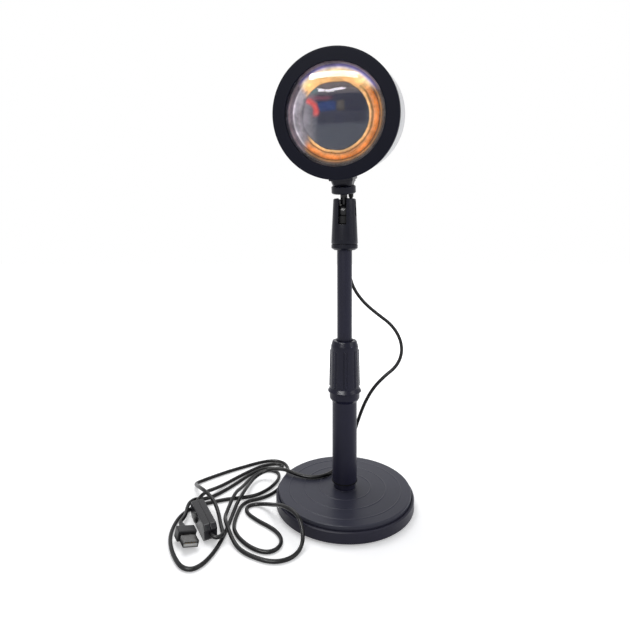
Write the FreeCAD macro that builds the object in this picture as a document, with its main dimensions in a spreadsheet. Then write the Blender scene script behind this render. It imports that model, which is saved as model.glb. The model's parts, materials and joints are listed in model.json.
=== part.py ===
import FreeCAD, Part
import math
import os
import re

import Sketcher

V = FreeCAD.Vector

# Sunset projection lamp, in millimetres.
# Frame: origin at the centre of the base's underside, +Z up, the lamp's front towards -Y.

# ---------------------------------------------------------------- driving sizes
DRIVING_SIZES = dict(
    # general clearances
    running_gap=0.05,        # radial gap of a part that turns or slides in another
    seat_gap=0.10,           # gap between faces that meet but are not fastened
    loose_gap=0.30,          # gap of a piece that passes another freely
    # base
    base_radius=61.5,
    foot_height=1.2,
    foot_radius=5.0,
    foot_circle=53.5,
    foot_sink=1.6,           # depth of the pocket that holds a foot
    lip_level=10.8,          # top of the cast body's lip
    plate_margin=2.4,        # how far the plate's edge lies inside the body's
    plate_recess=1.0,        # how deep the plate sits in the body
    plate_rim=14.4,          # height of the plate's outer edge above the floor
    plate_dome=0.9,
    edge_break=0.8,
    bolt_radius=4.0,
    bolt_head_radius=6.5,
    bolt_head_depth=4.0,
    washer_radius=10.0,
    washer_depth=1.2,
    boss_radius=9.5,
    boss_rise=4.6,
    ferrule_radius=11.5,
    ferrule_depth=1.6,
    # lower tube and its inside
    lower_radius=11.0,
    lower_wall=1.1,
    lower_length=107.0,
    plug_length=15.0,
    # twist-lock clutch
    collar_radius=12.3,
    collar_length=24.0,
    collar_drop=4.0,         # how far the collar ends below the lower tube's top
    collet_wall=1.9,
    collet_flange=3.0,
    collet_length=13.0,
    collet_slit=1.2,
    grip_bottom=92.5,
    grip_skirt_radius=13.5,
    grip_skirt_height=8.2,
    grip_ridge_radius=15.0,
    grip_ridge_depth=1.2,
    grip_ridge_slope=3.0,
    grip_low_radius=13.3,
    grip_high_radius=12.5,
    grip_body_height=34.6,
    grip_shoulder_radius=12.3,
    grip_shoulder_height=2.3,
    grip_top_radius=10.9,
    grip_top_height=4.9,
    grip_mouth_gap=0.9,      # visible gap round the upper tube
    grip_mouth_depth=2.6,
    rib_count=8,
    rib_width=2.2,
    rib_proud=0.55,
    rib_root=0.3,            # how deep a rib starts in the wall
    # upper tube and its ends
    upper_radius=6.75,
    upper_wall=0.9,
    upper_visible=81.3,      # tube seen between the clutch and the socket at rest
    upper_hidden=52.0,       # tube below the clutch's top at rest
    bush_length=16.0,
    # ball socket
    socket_band_height=5.0,
    socket_band_radius=11.9,
    socket_foot_radius=9.4,
    socket_wide_radius=12.0,
    socket_top_radius=10.2,
    socket_height=46.3,
    socket_yaw=15.57,        # the slot and the lamp point this far to the viewer's left
    slot_width=7.4,
    slot_depth=23.2,
    side_slot_width=5.0,
    side_slot_low=16.0,      # from the rim down to the side window's sill
    side_slot_high=2.2,
    ball_radius=8.0,
    ball_drop=11.9,          # ball centre below the socket's rim
    mouth_radius=7.1,
    mouth_rise=4.6,          # the mouth's edge above the ball centre
    seat_depth=6.5,
    seat_lap=4.0,            # seat's top below the ball centre
    spigot_radius=8.4,
    spigot_height=16.4,
    tube_engage=9.0,         # upper tube's length inside the socket base
    spring_wall=0.7,
    # stud, nut and neck
    stud_radius=3.2,
    nut_start=16.8,          # ball centre to the nut's lower face
    nut_depth=7.1,
    nut_radius=10.9,
    stud_grip=5.0,           # stud's length inside the neck
    neck_low_width=16.8,
    neck_high_width=19.6,
    neck_low_depth=15.0,
    neck_high_depth=19.0,
    neck_height=5.0,
    neck_corner=2.0,
    saddle_width=21.4,
    saddle_depth=22.0,
    saddle_wrap=1.4,         # how far the saddle comes up round the drum
    head_tilt=11.28,         # the lamp nods this far down at rest
    # lamp head, measured from its rear face forwards
    neck_rise=32.0,          # ball centre to the underside of the drum
    head_forward=26.0,       # stud axis to the lamp's front face
    head_depth=64.0,
    ring_overhang=0.8,       # how far the ring stands out past the drum
    ring_depth=6.5,
    ring_lap=0.9,            # how far the ring laps over the lens's edge
    ring_edge=1.6,
    ring_lip=2.2,
    drum_radius=53.0,
    drum_wall=2.0,
    groove_width=0.9,
    groove_depth=0.7,
    groove_front=37.5,       # first groove, from the rear face
    groove_rear=10.5,
    cover_depth=9.0,
    cover_radius=51.6,
    cover_wall=2.0,
    drum_front_lap=4.0,      # bezel's spigot inside the drum
    spigot_wall=2.0,
    lens_radius=43.3,
    lens_edge=2.6,
    lens_crown=8.5,
    gasket_depth=1.2,
    gasket_width=2.8,
    filter_radius=38.0,
    filter_depth=1.1,
    holder_depth=4.4,
    holder_bore=36.0,
    cup_throat=11.0,
    cup_depth=15.0,
    cup_wall=1.2,
    board_radius=20.0,
    board_depth=1.6,
    chip_side=9.0,
    chip_depth=0.8,
    sink_plate=3.0,
    fin_count=8,
    fin_pitch=7.6,
    fin_height=11.0,
    fin_depth=1.4,
    fin_length=56.0,
    driver_width=46.0,
    driver_height=24.0,
    driver_depth=1.6,
    screw_radius=1.25,
    screw_head=2.4,
    screw_head_depth=1.5,
    screw_slot=0.6,
    screw_circle=43.5,
    screw_boss=3.4,
    lug_length=9.0,
    cover_screw_length=16.0,
    neck_screw_length=7.0,
    neck_screw_reach=7.0,
    vent_count=7,
    vent_width=2.2,
    vent_pitch=6.0,
    vent_length=40.0,
    # cord and what it carries
    cord_radius=1.6,
    gland_side=3.0,          # gland right of the stud axis
    gland_back=17.0,         # gland behind the stud axis
    gland_radius=3.6,
    gland_drop=7.0,
    boot_length=14.0,
    boot_tip_radius=2.2,
    floor_gap=0.15,          # room under what lies on the floor
    switch_length=45.0,
    switch_width=10.5,
    switch_height=13.0,
    switch_wall=1.3,
    switch_nose=3.5,         # length of each tapered end
    switch_end=7.5,          # height of the end faces
    switch_core_length=16.0,
    switch_core_height=7.0,
    switch_screw_reach=12.0,
    small_screw_radius=0.9,
    small_screw_length=4.0,
    small_screw_head=1.7,
    small_screw_depth=0.7,
    small_screw_slot=0.45,
    button_radius=3.4,
    button_proud=2.0,
    button_shift=-4.0,
    button_travel=1.2,
    plug_grip_length=9.0,
    plug_grip_across=8.0,
    plug_grip_wide=15.0,
    plug_shell_length=11.5,
    plug_shell_across=4.5,
    plug_shell_wide=12.0,
    plug_shell_wall=0.4,
    plug_tongue_depth=1.8,
    plug_boot_length=8.0,
    contact_pitch=2.3,
    # small edges, gaps and laps
    cut_over=1.0,            # how far a cut runs past the face that it opens
    foot_count=4,
    foot_taper=0.5,
    bolt_short=2.0,          # how far the bolt ends below the tube plug's top
    collet_step=1.0,
    collet_taper=0.7,
    slit_start=1.5,
    slit_count=4,
    skirt_flare=1.9,
    skirt_slope=2.8,
    ridge_edge=0.6,
    throat_slope=1.5,
    rib_low_gap=0.4,
    rib_high_gap=0.6,
    cap_depth=1.5,
    cap_lap=1.5,
    cap_plug=6.0,
    band_slope=1.8,
    sleeve_foot_edge=0.6,
    sleeve_foot_rise=1.2,
    sleeve_edge=0.7,
    mouth_flare=1.1,
    mouth_pinch=0.5,
    mouth_deep=2.2,
    spring_play=0.2,
    spring_foot_bore=1.2,
    spring_crown=2.4,
    spring_bore=4.6,
    nut_chamfer=0.9,
    window_edge=0.6,
    cup_bite=1.5,
    cup_flange=4.0,
    fin_root=0.5,            # how far fins and bosses sink into what carries them
    cover_spigot=3.0,
    cover_slope=4.0,
    cover_edge=1.2,
    cover_fillet=2.0,
    screw_count=4,
    lug_margin=1.0,
    lug_root=0.3,
    gland_flange=1.4,
    gland_slope=1.2,
    gland_neck=1.6,
    gland_lock=1.5,
    boot_step=0.4,
    button_round=0.7,
    tongue_short=1.0,
    contact_width=1.0,
    contact_depth=0.2,
    plug_boot_end=0.4,
    plug_boot_start=1.3,
    boot_run=12.5,           # the cord's straight run out of each thing on it
    switch_run=3.2,
    plug_run=4.4,
)

doc = FreeCAD.newDocument("SunsetLamp")
sheet = doc.addObject("Spreadsheet::Sheet", "Sizes")
for row, (alias, number) in enumerate(DRIVING_SIZES.items(), start=1):
    sheet.set("A%d" % row, alias.replace("_", " "))
    sheet.set("B%d" % row, repr(number))
    sheet.setAlias("B%d" % row, alias)
doc.recompute()


# ---------------------------------------------------------------- helpers
def size(alias):
    """A driving size, read from the sheet."""
    return float(sheet.get(alias))


def formula(text):
    """The same formula with every size written as a cell of the sheet."""
    def cell(match):
        word = match.group(0)
        return "Sizes." + word if word in DRIVING_SIZES else word
    return re.sub(r"[a-z_]+", cell, text)


def value(text):
    """What a formula of sizes comes to now."""
    return float(sheet.evalExpression(formula(text)))


def bind(thing, **formulas):
    """Tie properties of an object to formulas of the sheet."""
    for prop, text in formulas.items():
        thing.setExpression(prop, formula(text))


def plane(body, role):
    """An origin plane of a body, found by its role."""
    return next(f for f in body.Origin.OriginFeatures if f.Role == role)


def new_sketch(body, name, role):
    sketch = body.newObject("Sketcher::SketchObject", name)
    sketch.AttachmentSupport = [(plane(body, role), "")]
    sketch.MapMode = "FlatFace"
    return sketch


def polygon(sketch, corners):
    """Closed polygon whose corners are pairs of formulas; a corner at "0" lies on the axis."""
    count = len(corners)
    base = sketch.GeometryCount
    start = [V(10 + 3 * math.cos(2 * math.pi * i / count), 10 + 3 * math.sin(2 * math.pi * i / count), 0)
             for i in range(count)]
    for i in range(count):
        sketch.addGeometry(Part.LineSegment(start[i], start[(i + 1) % count]), False)
    for i in range(count):
        sketch.addConstraint(Sketcher.Constraint("Coincident", base + i, 2, base + (i + 1) % count, 1))
    for i, (across, up) in enumerate(corners):
        for kind, text, axis, first in (("DistanceX", across, -2, start[i].x),
                                        ("DistanceY", up, -1, start[i].y)):
            if text == "0":
                sketch.addConstraint(Sketcher.Constraint("PointOnObject", base + i, 1, axis))
            else:
                number = sketch.addConstraint(Sketcher.Constraint(kind, base + i, 1, first))
                sketch.setExpression("Constraints[%d]" % number, formula(text))


def circle(sketch, across, up, radius):
    """Circle whose centre and radius are formulas."""
    sketch.addGeometry(Part.Circle(V(10, 10, 0), V(0, 0, 1), 3), False)
    index = sketch.GeometryCount - 1
    for kind, text, axis, first in (("DistanceX", across, -2, 10), ("DistanceY", up, -1, 10)):
        if text == "0":
            sketch.addConstraint(Sketcher.Constraint("PointOnObject", index, 3, axis))
        else:
            number = sketch.addConstraint(Sketcher.Constraint(kind, index, 3, first))
            sketch.setExpression("Constraints[%d]" % number, formula(text))
    number = sketch.addConstraint(Sketcher.Constraint("Radius", index, 3))
    sketch.setExpression("Constraints[%d]" % number, formula(radius))


def turned(label, outline, place=None):
    """Body turned about its own Z axis from an outline of (radius, height) formulas."""
    body = doc.addObject("PartDesign::Body", label)
    body.Label = label
    sketch = new_sketch(body, label + "_outline", "XZ_Plane")
    polygon(sketch, outline)
    turn = body.newObject("PartDesign::Revolution", label + "_turn")
    turn.Profile = sketch
    turn.ReferenceAxis = (sketch, ["V_Axis"])
    turn.Angle = 360
    sketch.Visibility = False
    if place is not None:
        body.Placement = place
    return body


def padded(label, role, corners, length, level=None, backwards=False, place=None):
    """Body padded from a polygon on one of its origin planes, or at a level above it."""
    body = doc.addObject("PartDesign::Body", label)
    body.Label = label
    sketch = new_sketch(body, label + "_outline", role)
    if level is not None:
        bind(sketch, **{"AttachmentOffset.Base.z": level})
    polygon(sketch, corners)
    pad = body.newObject("PartDesign::Pad", label + "_pad")
    pad.Profile = sketch
    pad.Reversed = backwards
    bind(pad, Length=length)
    if place is not None:
        body.Placement = place
    return body


def oblong(width, height):
    """Corners of a rectangle centred on the sketch's origin."""
    w, t = "(%s) / 2" % width, "(%s) / 2" % height
    return [("-" + w, "-" + t), (w, "-" + t), (w, t), ("-" + w, t)]


def pocket(body, name, role, draw, length, backwards=False, count=None):
    """Cut a drawn sketch out of a body, once or as a polar pattern about Z, and prove that it cut."""
    doc.recompute()
    before = body.Shape.Volume
    sketch = new_sketch(body, name + "_outline", role)
    draw(sketch)
    cut = body.newObject("PartDesign::Pocket", name)
    cut.Profile = sketch
    cut.Reversed = backwards
    bind(cut, Length=length)
    if count is not None:
        around(body, cut, count)
    doc.recompute()
    if not body.Shape.Volume < before - 0.01:
        raise ValueError(name + " cuts nothing")
    return cut


def around(body, feature, count):
    """Polar pattern of a feature about the body's Z axis."""
    pattern = body.newObject("PartDesign::PolarPattern", feature.Name + "_round")
    pattern.Originals = [feature]
    pattern.Axis = (plane_axis(body), [""])
    pattern.Angle = 360
    bind(pattern, Occurrences=count)
    body.Tip = pattern
    return pattern


def plane_axis(body):
    return next(f for f in body.Origin.OriginFeatures if f.Role == "Z_Axis")


def rod(label, radius, length, place=None, bottom=None):
    """Part cylinder along its own Z axis; bottom is the height of its lower face."""
    cylinder = doc.addObject("Part::Cylinder", label)
    cylinder.Label = label
    bind(cylinder, Radius=radius, Height=length)
    if place is not None:
        cylinder.Placement = place
    if bottom is not None:
        bind(cylinder, **{"Placement.Base.z": bottom})
    return cylinder


def fused(label, *pieces):
    """Part fusion of pieces, or of one list of like solids that stay separate."""
    fuse = doc.addObject("Part::MultiFuse", label)
    fuse.Label = label
    fuse.Shapes = list(pieces)
    return fuse


def cut_from(label, body, *tools):
    """Part cut of one or more tools from a piece."""
    tool = tools[0] if len(tools) == 1 else fused(label + "_tools", *tools)
    cut = doc.addObject("Part::Cut", label)
    cut.Label = label
    cut.Base = body
    cut.Tool = tool
    return cut


def ring_places(count, radius, level, first=0.0):
    """Placements at even angles round the Z axis."""
    angles = [first + 360.0 * i / count for i in range(count)]
    turns = [FreeCAD.Rotation(V(0, 0, 1), angle) for angle in angles]
    return [FreeCAD.Placement(turn.multVec(V(radius, 0, 0)) + V(0, 0, level), turn) for turn in turns]


def group(label, shapes, place=None):
    """One node that holds a set of like solids, as a feature of the document."""
    feature = doc.addObject("Part::Feature", label)
    feature.Label = label
    feature.Shape = Part.makeCompound(shapes)
    if place is not None:
        feature.Placement = place
    return feature


NODES = []


def node(piece):
    """Keep a piece as a node of its own."""
    NODES.append(piece)
    return piece


def screw(thread_radius, thread_length, head_radius, head_depth, slot):
    """Pan-head screw along +Z, its head's underside at the origin and its shank below."""
    head = Part.makeCylinder(head_radius, head_depth)
    head = head.makeFillet(head_depth * 0.45, [head.Edges[0]])
    for turn in (0, 90):
        bar = Part.makeBox(2 * head_radius * 0.7, slot, head_depth * 0.6,
                           V(-head_radius * 0.7, -slot / 2, head_depth * 0.45))
        bar.rotate(V(0, 0, 0), V(0, 0, 1), turn)
        head = head.cut(bar)
    shank = Part.makeCylinder(thread_radius, thread_length, V(0, 0, -thread_length))
    return head.fuse(shank).removeSplitter()


def placed(shape, place):
    copy = shape.copy()
    copy.Placement = place.multiply(copy.Placement)
    return copy


# ---------------------------------------------------------------- base
BOSS_TOP = "plate_rim + plate_dome + boss_rise"
TUBE_FOOT = BOSS_TOP + " + ferrule_depth"
LOWER_TOP = TUBE_FOOT + " + lower_length"
CLUTCH_TOP = "grip_bottom + grip_skirt_height + grip_ridge_depth + grip_ridge_slope" \
    " + grip_body_height + grip_shoulder_height + grip_top_height"
SOCKET_FOOT = CLUTCH_TOP + " + upper_visible"
BOLT_HOLE = "bolt_radius + loose_gap"
WELL_ROOF = "foot_height + bolt_head_depth + washer_depth + seat_gap"
PLATE_EDGE = "base_radius - plate_margin"
PLATE_SEAT = "lip_level - plate_recess"

base_body = node(turned("base_body", [
    (BOLT_HOLE, WELL_ROOF),
    ("washer_radius + loose_gap", WELL_ROOF),
    ("washer_radius + loose_gap", "foot_height"),
    ("base_radius - edge_break", "foot_height"),
    ("base_radius", "foot_height + edge_break"),
    ("base_radius", "lip_level - edge_break"),
    ("base_radius - edge_break", "lip_level"),
    (PLATE_EDGE + " + loose_gap", "lip_level"),
    (PLATE_EDGE + " + loose_gap", PLATE_SEAT),
    (BOLT_HOLE, PLATE_SEAT)]))
pocket(base_body, "foot_pockets", "XY_Plane",
       lambda s: circle(s, "foot_circle * cos(45)", "foot_circle * sin(45)", "foot_radius + loose_gap"),
       length="foot_height + foot_sink", backwards=True, count="foot_count")

base_plate = node(turned("base_plate", [
    (BOLT_HOLE, PLATE_SEAT),
    (PLATE_EDGE, PLATE_SEAT),
    (PLATE_EDGE, "plate_rim - edge_break"),
    (PLATE_EDGE + " - edge_break", "plate_rim"),
    ("boss_radius", "plate_rim + plate_dome"),
    (BOLT_HOLE, "plate_rim + plate_dome")]))

column_boss = node(turned("column_boss", [
    (BOLT_HOLE, "plate_rim + plate_dome"),
    ("boss_radius", "plate_rim + plate_dome"),
    ("boss_radius", BOSS_TOP),
    (BOLT_HOLE, BOSS_TOP)]))

tube_ferrule = node(turned("tube_ferrule", [
    (BOLT_HOLE, BOSS_TOP),
    ("boss_radius", BOSS_TOP),
    ("ferrule_radius", BOSS_TOP + " + ferrule_depth / 2"),
    ("ferrule_radius", TUBE_FOOT),
    (BOLT_HOLE, TUBE_FOOT)]))

foot_place = ring_places(int(size("foot_count")), size("foot_circle"), 0.0, first=45.0)
feet = node(group("rubber_feet", [
    placed(Part.makeCone(value("foot_radius - foot_taper"), size("foot_radius"),
                         value("foot_height + foot_sink")), spot) for spot in foot_place]))

BOLT_SEAT = "foot_height + bolt_head_depth"
base_washer = node(turned("base_washer", [
    (BOLT_HOLE, BOLT_SEAT),
    ("washer_radius", BOLT_SEAT),
    ("washer_radius", BOLT_SEAT + " + washer_depth"),
    (BOLT_HOLE, BOLT_SEAT + " + washer_depth")]))
bolt_head = rod("bolt_head", "bolt_head_radius", "bolt_head_depth - seat_gap",
                bottom="foot_height + seat_gap")
bolt_shank = rod("bolt_shank", "bolt_radius",
                 TUBE_FOOT + " + plug_length - bolt_short - (%s)" % BOLT_SEAT, bottom=BOLT_SEAT)
bolt_socket = doc.addObject("Part::Prism", "bolt_socket")
bolt_socket.Polygon = 6
bind(bolt_socket, Circumradius="bolt_radius * 0.85", Height="bolt_head_depth * 0.6")
bind(bolt_socket, **{"Placement.Base.z": "foot_height + seat_gap"})
base_bolt = node(cut_from("base_bolt", fused("bolt_blank", bolt_head, bolt_shank), bolt_socket))

# ---------------------------------------------------------------- lower tube
LOWER_BORE = "lower_radius - lower_wall"
lower_tube = node(turned("lower_tube", [
    (LOWER_BORE, TUBE_FOOT),
    ("lower_radius", TUBE_FOOT),
    ("lower_radius", LOWER_TOP),
    (LOWER_BORE, LOWER_TOP)]))
tube_plug = node(turned("tube_plug", [
    ("bolt_radius", TUBE_FOOT),
    (LOWER_BORE, TUBE_FOOT),
    (LOWER_BORE, TUBE_FOOT + " + plug_length"),
    ("bolt_radius", TUBE_FOOT + " + plug_length")]))

# ---------------------------------------------------------------- twist-lock clutch
COLLAR_TOP = LOWER_TOP + " - collar_drop"
clutch_collar = node(turned("clutch_collar", [
    ("lower_radius", COLLAR_TOP + " - collar_length"),
    ("collar_radius", COLLAR_TOP + " - collar_length"),
    ("collar_radius", COLLAR_TOP),
    ("lower_radius", COLLAR_TOP)]))

COLLET_BORE = "upper_radius + running_gap"
COLLET_RADIUS = "upper_radius + running_gap + collet_wall"
clutch_collet = node(turned("clutch_collet", [
    (COLLET_BORE, LOWER_TOP),
    ("lower_radius", LOWER_TOP),
    ("lower_radius", LOWER_TOP + " + collet_flange"),
    (COLLET_RADIUS, LOWER_TOP + " + collet_flange + collet_step"),
    (COLLET_RADIUS + " - collet_taper", LOWER_TOP + " + collet_length"),
    (COLLET_BORE, LOWER_TOP + " + collet_length")]))
pocket(clutch_collet, "collet_slits", "XZ_Plane",
       lambda s: polygon(s, [("-collet_slit / 2", LOWER_TOP + " + collet_flange + slit_start"),
                             ("collet_slit / 2", LOWER_TOP + " + collet_flange + slit_start"),
                             ("collet_slit / 2", LOWER_TOP + " + collet_length + cut_over"),
                             ("-collet_slit / 2", LOWER_TOP + " + collet_length + cut_over")]),
       length="lower_radius", count="slit_count")

SKIRT_TOP = "grip_bottom + grip_skirt_height"
RIDGE_TOP = SKIRT_TOP + " + grip_ridge_depth"
PANEL_LOW = RIDGE_TOP + " + grip_ridge_slope"
PANEL_HIGH = PANEL_LOW + " + grip_body_height"
SHOULDER = PANEL_HIGH + " + grip_shoulder_height"
GRIP_BORE = "collar_radius + running_gap"
GRIP_CONE = COLLET_RADIUS + " + loose_gap"
clutch_grip = node(turned("clutch_grip", [
    ("lower_radius + loose_gap", "grip_bottom"),
    ("grip_skirt_radius - skirt_flare", "grip_bottom"),
    ("grip_skirt_radius", "grip_bottom + skirt_slope"),
    ("grip_skirt_radius", SKIRT_TOP),
    ("grip_ridge_radius", SKIRT_TOP + " + ridge_edge"),
    ("grip_ridge_radius", RIDGE_TOP),
    ("grip_low_radius", PANEL_LOW),
    ("grip_high_radius", PANEL_HIGH),
    ("grip_shoulder_radius", SHOULDER),
    ("grip_top_radius", CLUTCH_TOP),
    ("upper_radius + grip_mouth_gap", CLUTCH_TOP),
    ("upper_radius + grip_mouth_gap", CLUTCH_TOP + " - grip_mouth_depth"),
    (GRIP_CONE, CLUTCH_TOP + " - grip_mouth_depth - throat_slope"),
    (GRIP_CONE, LOWER_TOP + " + collet_flange + collet_step + loose_gap"),
    ("lower_radius + loose_gap", LOWER_TOP + " + collet_flange + loose_gap"),
    ("lower_radius + loose_gap", COLLAR_TOP + " + loose_gap"),
    (GRIP_BORE, COLLAR_TOP + " + loose_gap"),
    (GRIP_BORE, COLLAR_TOP + " - collar_length - loose_gap"),
    ("lower_radius + loose_gap", COLLAR_TOP + " - collar_length - loose_gap")]))


def rib_section(name, level, radius):
    """Cross-section of one grip rib at a height."""
    sketch = new_sketch(clutch_grip, name, "XY_Plane")
    bind(sketch, **{"AttachmentOffset.Base.z": level})
    root, crest = radius + " - rib_root", radius + " + rib_proud"
    polygon(sketch, [("-rib_width / 2", root), ("rib_width / 2", root),
                     ("rib_width / 2", crest), ("-rib_width / 2", crest)])
    return sketch


rib = clutch_grip.newObject("PartDesign::AdditiveLoft", "grip_rib")
rib.Profile = rib_section("rib_low", PANEL_LOW + " + rib_low_gap", "grip_low_radius")
rib.Sections = [rib_section("rib_high", PANEL_HIGH + " - rib_high_gap", "grip_high_radius")]
rib.Ruled = True
around(clutch_grip, rib, "rib_count")
doc.recompute()

# ---------------------------------------------------------------- upper tube
UPPER_BORE = "upper_radius - upper_wall"
UPPER_FOOT = CLUTCH_TOP + " - upper_hidden"
upper_tube = node(turned("upper_tube", [
    (UPPER_BORE, UPPER_FOOT),
    ("upper_radius", UPPER_FOOT),
    ("upper_radius", SOCKET_FOOT + " + tube_engage"),
    (UPPER_BORE, SOCKET_FOOT + " + tube_engage")]))
BUSH_RADIUS = LOWER_BORE + " - running_gap"
upper_bush = node(turned("upper_bush", [
    ("upper_radius", UPPER_FOOT),
    (BUSH_RADIUS, UPPER_FOOT),
    (BUSH_RADIUS, UPPER_FOOT + " + bush_length"),
    ("upper_radius", UPPER_FOOT + " + bush_length")]))
bush_cap = node(turned("bush_cap", [
    ("0", UPPER_FOOT + " - cap_depth"),
    ("upper_radius + cap_lap", UPPER_FOOT + " - cap_depth"),
    ("upper_radius + cap_lap", UPPER_FOOT),
    (UPPER_BORE, UPPER_FOOT),
    (UPPER_BORE, UPPER_FOOT + " + cap_plug"),
    ("0", UPPER_FOOT + " + cap_plug")]))

# ---------------------------------------------------------------- ball socket
BAND_TOP = SOCKET_FOOT + " + socket_band_height"
SPIGOT_TOP = BAND_TOP + " + spigot_height"
RIM = SOCKET_FOOT + " + socket_height"
BALL = RIM + " - ball_drop"
SLEEVE_FOOT = BAND_TOP + " + seat_gap"
SOCKET_BORE = "spigot_radius + running_gap"
socket_place = FreeCAD.Placement(V(0, 0, 0), FreeCAD.Rotation(V(0, 0, 1), -size("socket_yaw")))

socket_base = node(turned("socket_base", [
    ("upper_radius", SOCKET_FOOT),
    ("socket_foot_radius", SOCKET_FOOT),
    ("socket_band_radius", SOCKET_FOOT + " + band_slope"),
    ("socket_band_radius", BAND_TOP),
    ("spigot_radius", BAND_TOP),
    ("spigot_radius", SPIGOT_TOP),
    ("0", SPIGOT_TOP),
    ("0", SOCKET_FOOT + " + tube_engage"),
    ("upper_radius", SOCKET_FOOT + " + tube_engage")]))

socket_sleeve = node(turned("socket_sleeve", [
    (SOCKET_BORE, SLEEVE_FOOT),
    ("socket_wide_radius - sleeve_foot_edge", SLEEVE_FOOT),
    ("socket_wide_radius", SLEEVE_FOOT + " + sleeve_foot_rise"),
    ("socket_top_radius", RIM + " - sleeve_edge"),
    ("socket_top_radius - sleeve_edge", RIM),
    ("mouth_radius + mouth_flare", RIM),
    ("mouth_radius - mouth_pinch", BALL + " + mouth_rise"),
    (SOCKET_BORE, BALL + " + mouth_deep")], socket_place))
pocket(socket_sleeve, "stud_slot", "XZ_Plane",
       lambda s: polygon(s, [("-slot_width / 2", RIM + " - slot_depth"),
                             ("slot_width / 2", RIM + " - slot_depth"),
                             ("slot_width / 2", RIM + " + cut_over"),
                             ("-slot_width / 2", RIM + " + cut_over")]),
       length="socket_wide_radius + cut_over", backwards=True)
pocket(socket_sleeve, "side_window", "YZ_Plane",
       lambda s: polygon(s, [("-side_slot_width / 2", RIM + " - side_slot_low"),
                             ("side_slot_width / 2", RIM + " - side_slot_low"),
                             ("side_slot_width / 2", RIM + " - side_slot_high"),
                             ("-side_slot_width / 2", RIM + " - side_slot_high")]),
       length="socket_wide_radius + cut_over", backwards=True)

SEAT_TOP = BALL + " - seat_lap"
SEAT_RADIUS = SOCKET_BORE + " - running_gap"
seat_blank = rod("seat_blank", SEAT_RADIUS, "seat_depth", bottom=SEAT_TOP + " - seat_depth")
seat_hollow = doc.addObject("Part::Sphere", "seat_hollow")
bind(seat_hollow, Radius="ball_radius + running_gap")
bind(seat_hollow, **{"Placement.Base.z": BALL})
ball_seat = node(cut_from("ball_seat", seat_blank, seat_hollow))
SPRING_HIGH = SEAT_TOP + " - seat_depth - spring_wall"
spring_washer = node(turned("spring_washer", [
    ("spigot_radius - spring_foot_bore", SPIGOT_TOP),
    ("spigot_radius - spring_play", SPIGOT_TOP),
    ("spigot_radius - spring_crown", SPRING_HIGH + " + spring_wall"),
    ("spigot_radius - spring_bore", SPRING_HIGH + " + spring_wall")], socket_place))

# ---------------------------------------------------------------- head frames
ball_centre = V(0, 0, value(BALL))
yaw = FreeCAD.Rotation(V(0, 0, 1), -size("socket_yaw"))
nod = FreeCAD.Rotation(V(1, 0, 0), size("head_tilt"))
# head frame: origin at the ball centre, Z up the stud, -Y the way the lamp shines
head_place = FreeCAD.Placement(ball_centre, yaw.multiply(nod))
# optic frame: origin on the lamp's axis at the rear face, Z forwards out of the lens, Y up
head_rise = size("neck_rise") + size("drum_radius")
optic_place = head_place.multiply(FreeCAD.Placement(
    V(0, size("head_depth") - size("head_forward"), head_rise), FreeCAD.Rotation(V(1, 0, 0), 90)))

# ---------------------------------------------------------------- ball stud, lock nut, neck
stud_ball = doc.addObject("Part::Sphere", "stud_ball")
bind(stud_ball, Radius="ball_radius")
NECK_FOOT = "nut_start + nut_depth + seat_gap"
stud_rod = rod("stud_rod", "stud_radius", NECK_FOOT + " + stud_grip")
ball_stud = node(fused("ball_stud", stud_ball, stud_rod))
ball_stud.Placement = head_place

lock_nut = node(turned("lock_nut", [
    ("stud_radius + running_gap", "nut_start"),
    ("nut_radius - nut_chamfer", "nut_start"),
    ("nut_radius", "nut_start + nut_chamfer"),
    ("nut_radius", "nut_start + nut_depth - nut_chamfer"),
    ("nut_radius - nut_chamfer", "nut_start + nut_depth"),
    ("stud_radius + running_gap", "nut_start + nut_depth")], head_place))


def slab(body, name, width, depth, level):
    """Rectangle with cut corners, centred on Z at a height, for a loft."""
    sketch = new_sketch(body, name, "XY_Plane")
    bind(sketch, **{"AttachmentOffset.Base.z": level})
    w, d = width + " / 2", depth + " / 2"
    nw, nd = w + " - neck_corner", d + " - neck_corner"
    polygon(sketch, [(nw, "-" + d), (w, "-(%s)" % nd), (w, nd), (nw, d),
                     ("-(%s)" % nw, d), ("-" + w, nd), ("-" + w, "-(%s)" % nd), ("-(%s)" % nw, "-" + d)])
    return sketch


NECK_TOP = NECK_FOOT + " + neck_height"
neck_blank = doc.addObject("PartDesign::Body", "neck_blank")
neck_loft = neck_blank.newObject("PartDesign::AdditiveLoft", "neck_loft")
neck_loft.Profile = slab(neck_blank, "neck_low", "neck_low_width", "neck_low_depth", NECK_FOOT)
neck_loft.Sections = [slab(neck_blank, "neck_high", "neck_high_width", "neck_high_depth", NECK_TOP)]
neck_loft.Ruled = True
neck_hole = rod("neck_hole", "stud_radius", "stud_grip + cut_over", bottom=NECK_FOOT + " - cut_over")


def screw_holes(label, radius, bottom, length):
    """Bores for the two screws that hold the drum on the neck."""
    bores = [rod("%s_%d" % (label, index), radius, length) for index in range(2)]
    for bore, side in zip(bores, ("", "-")):
        bind(bore, **{"Placement.Base.y": side + "neck_screw_reach", "Placement.Base.z": bottom})
    return bores


SCREW_SEAT = "neck_rise + drum_wall"
neck_block = node(cut_from("neck_block", neck_blank, neck_hole, *screw_holes(
    "neck_bore", "screw_radius", SCREW_SEAT + " - neck_screw_length", "neck_screw_length")))
neck_block.Placement = head_place

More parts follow.
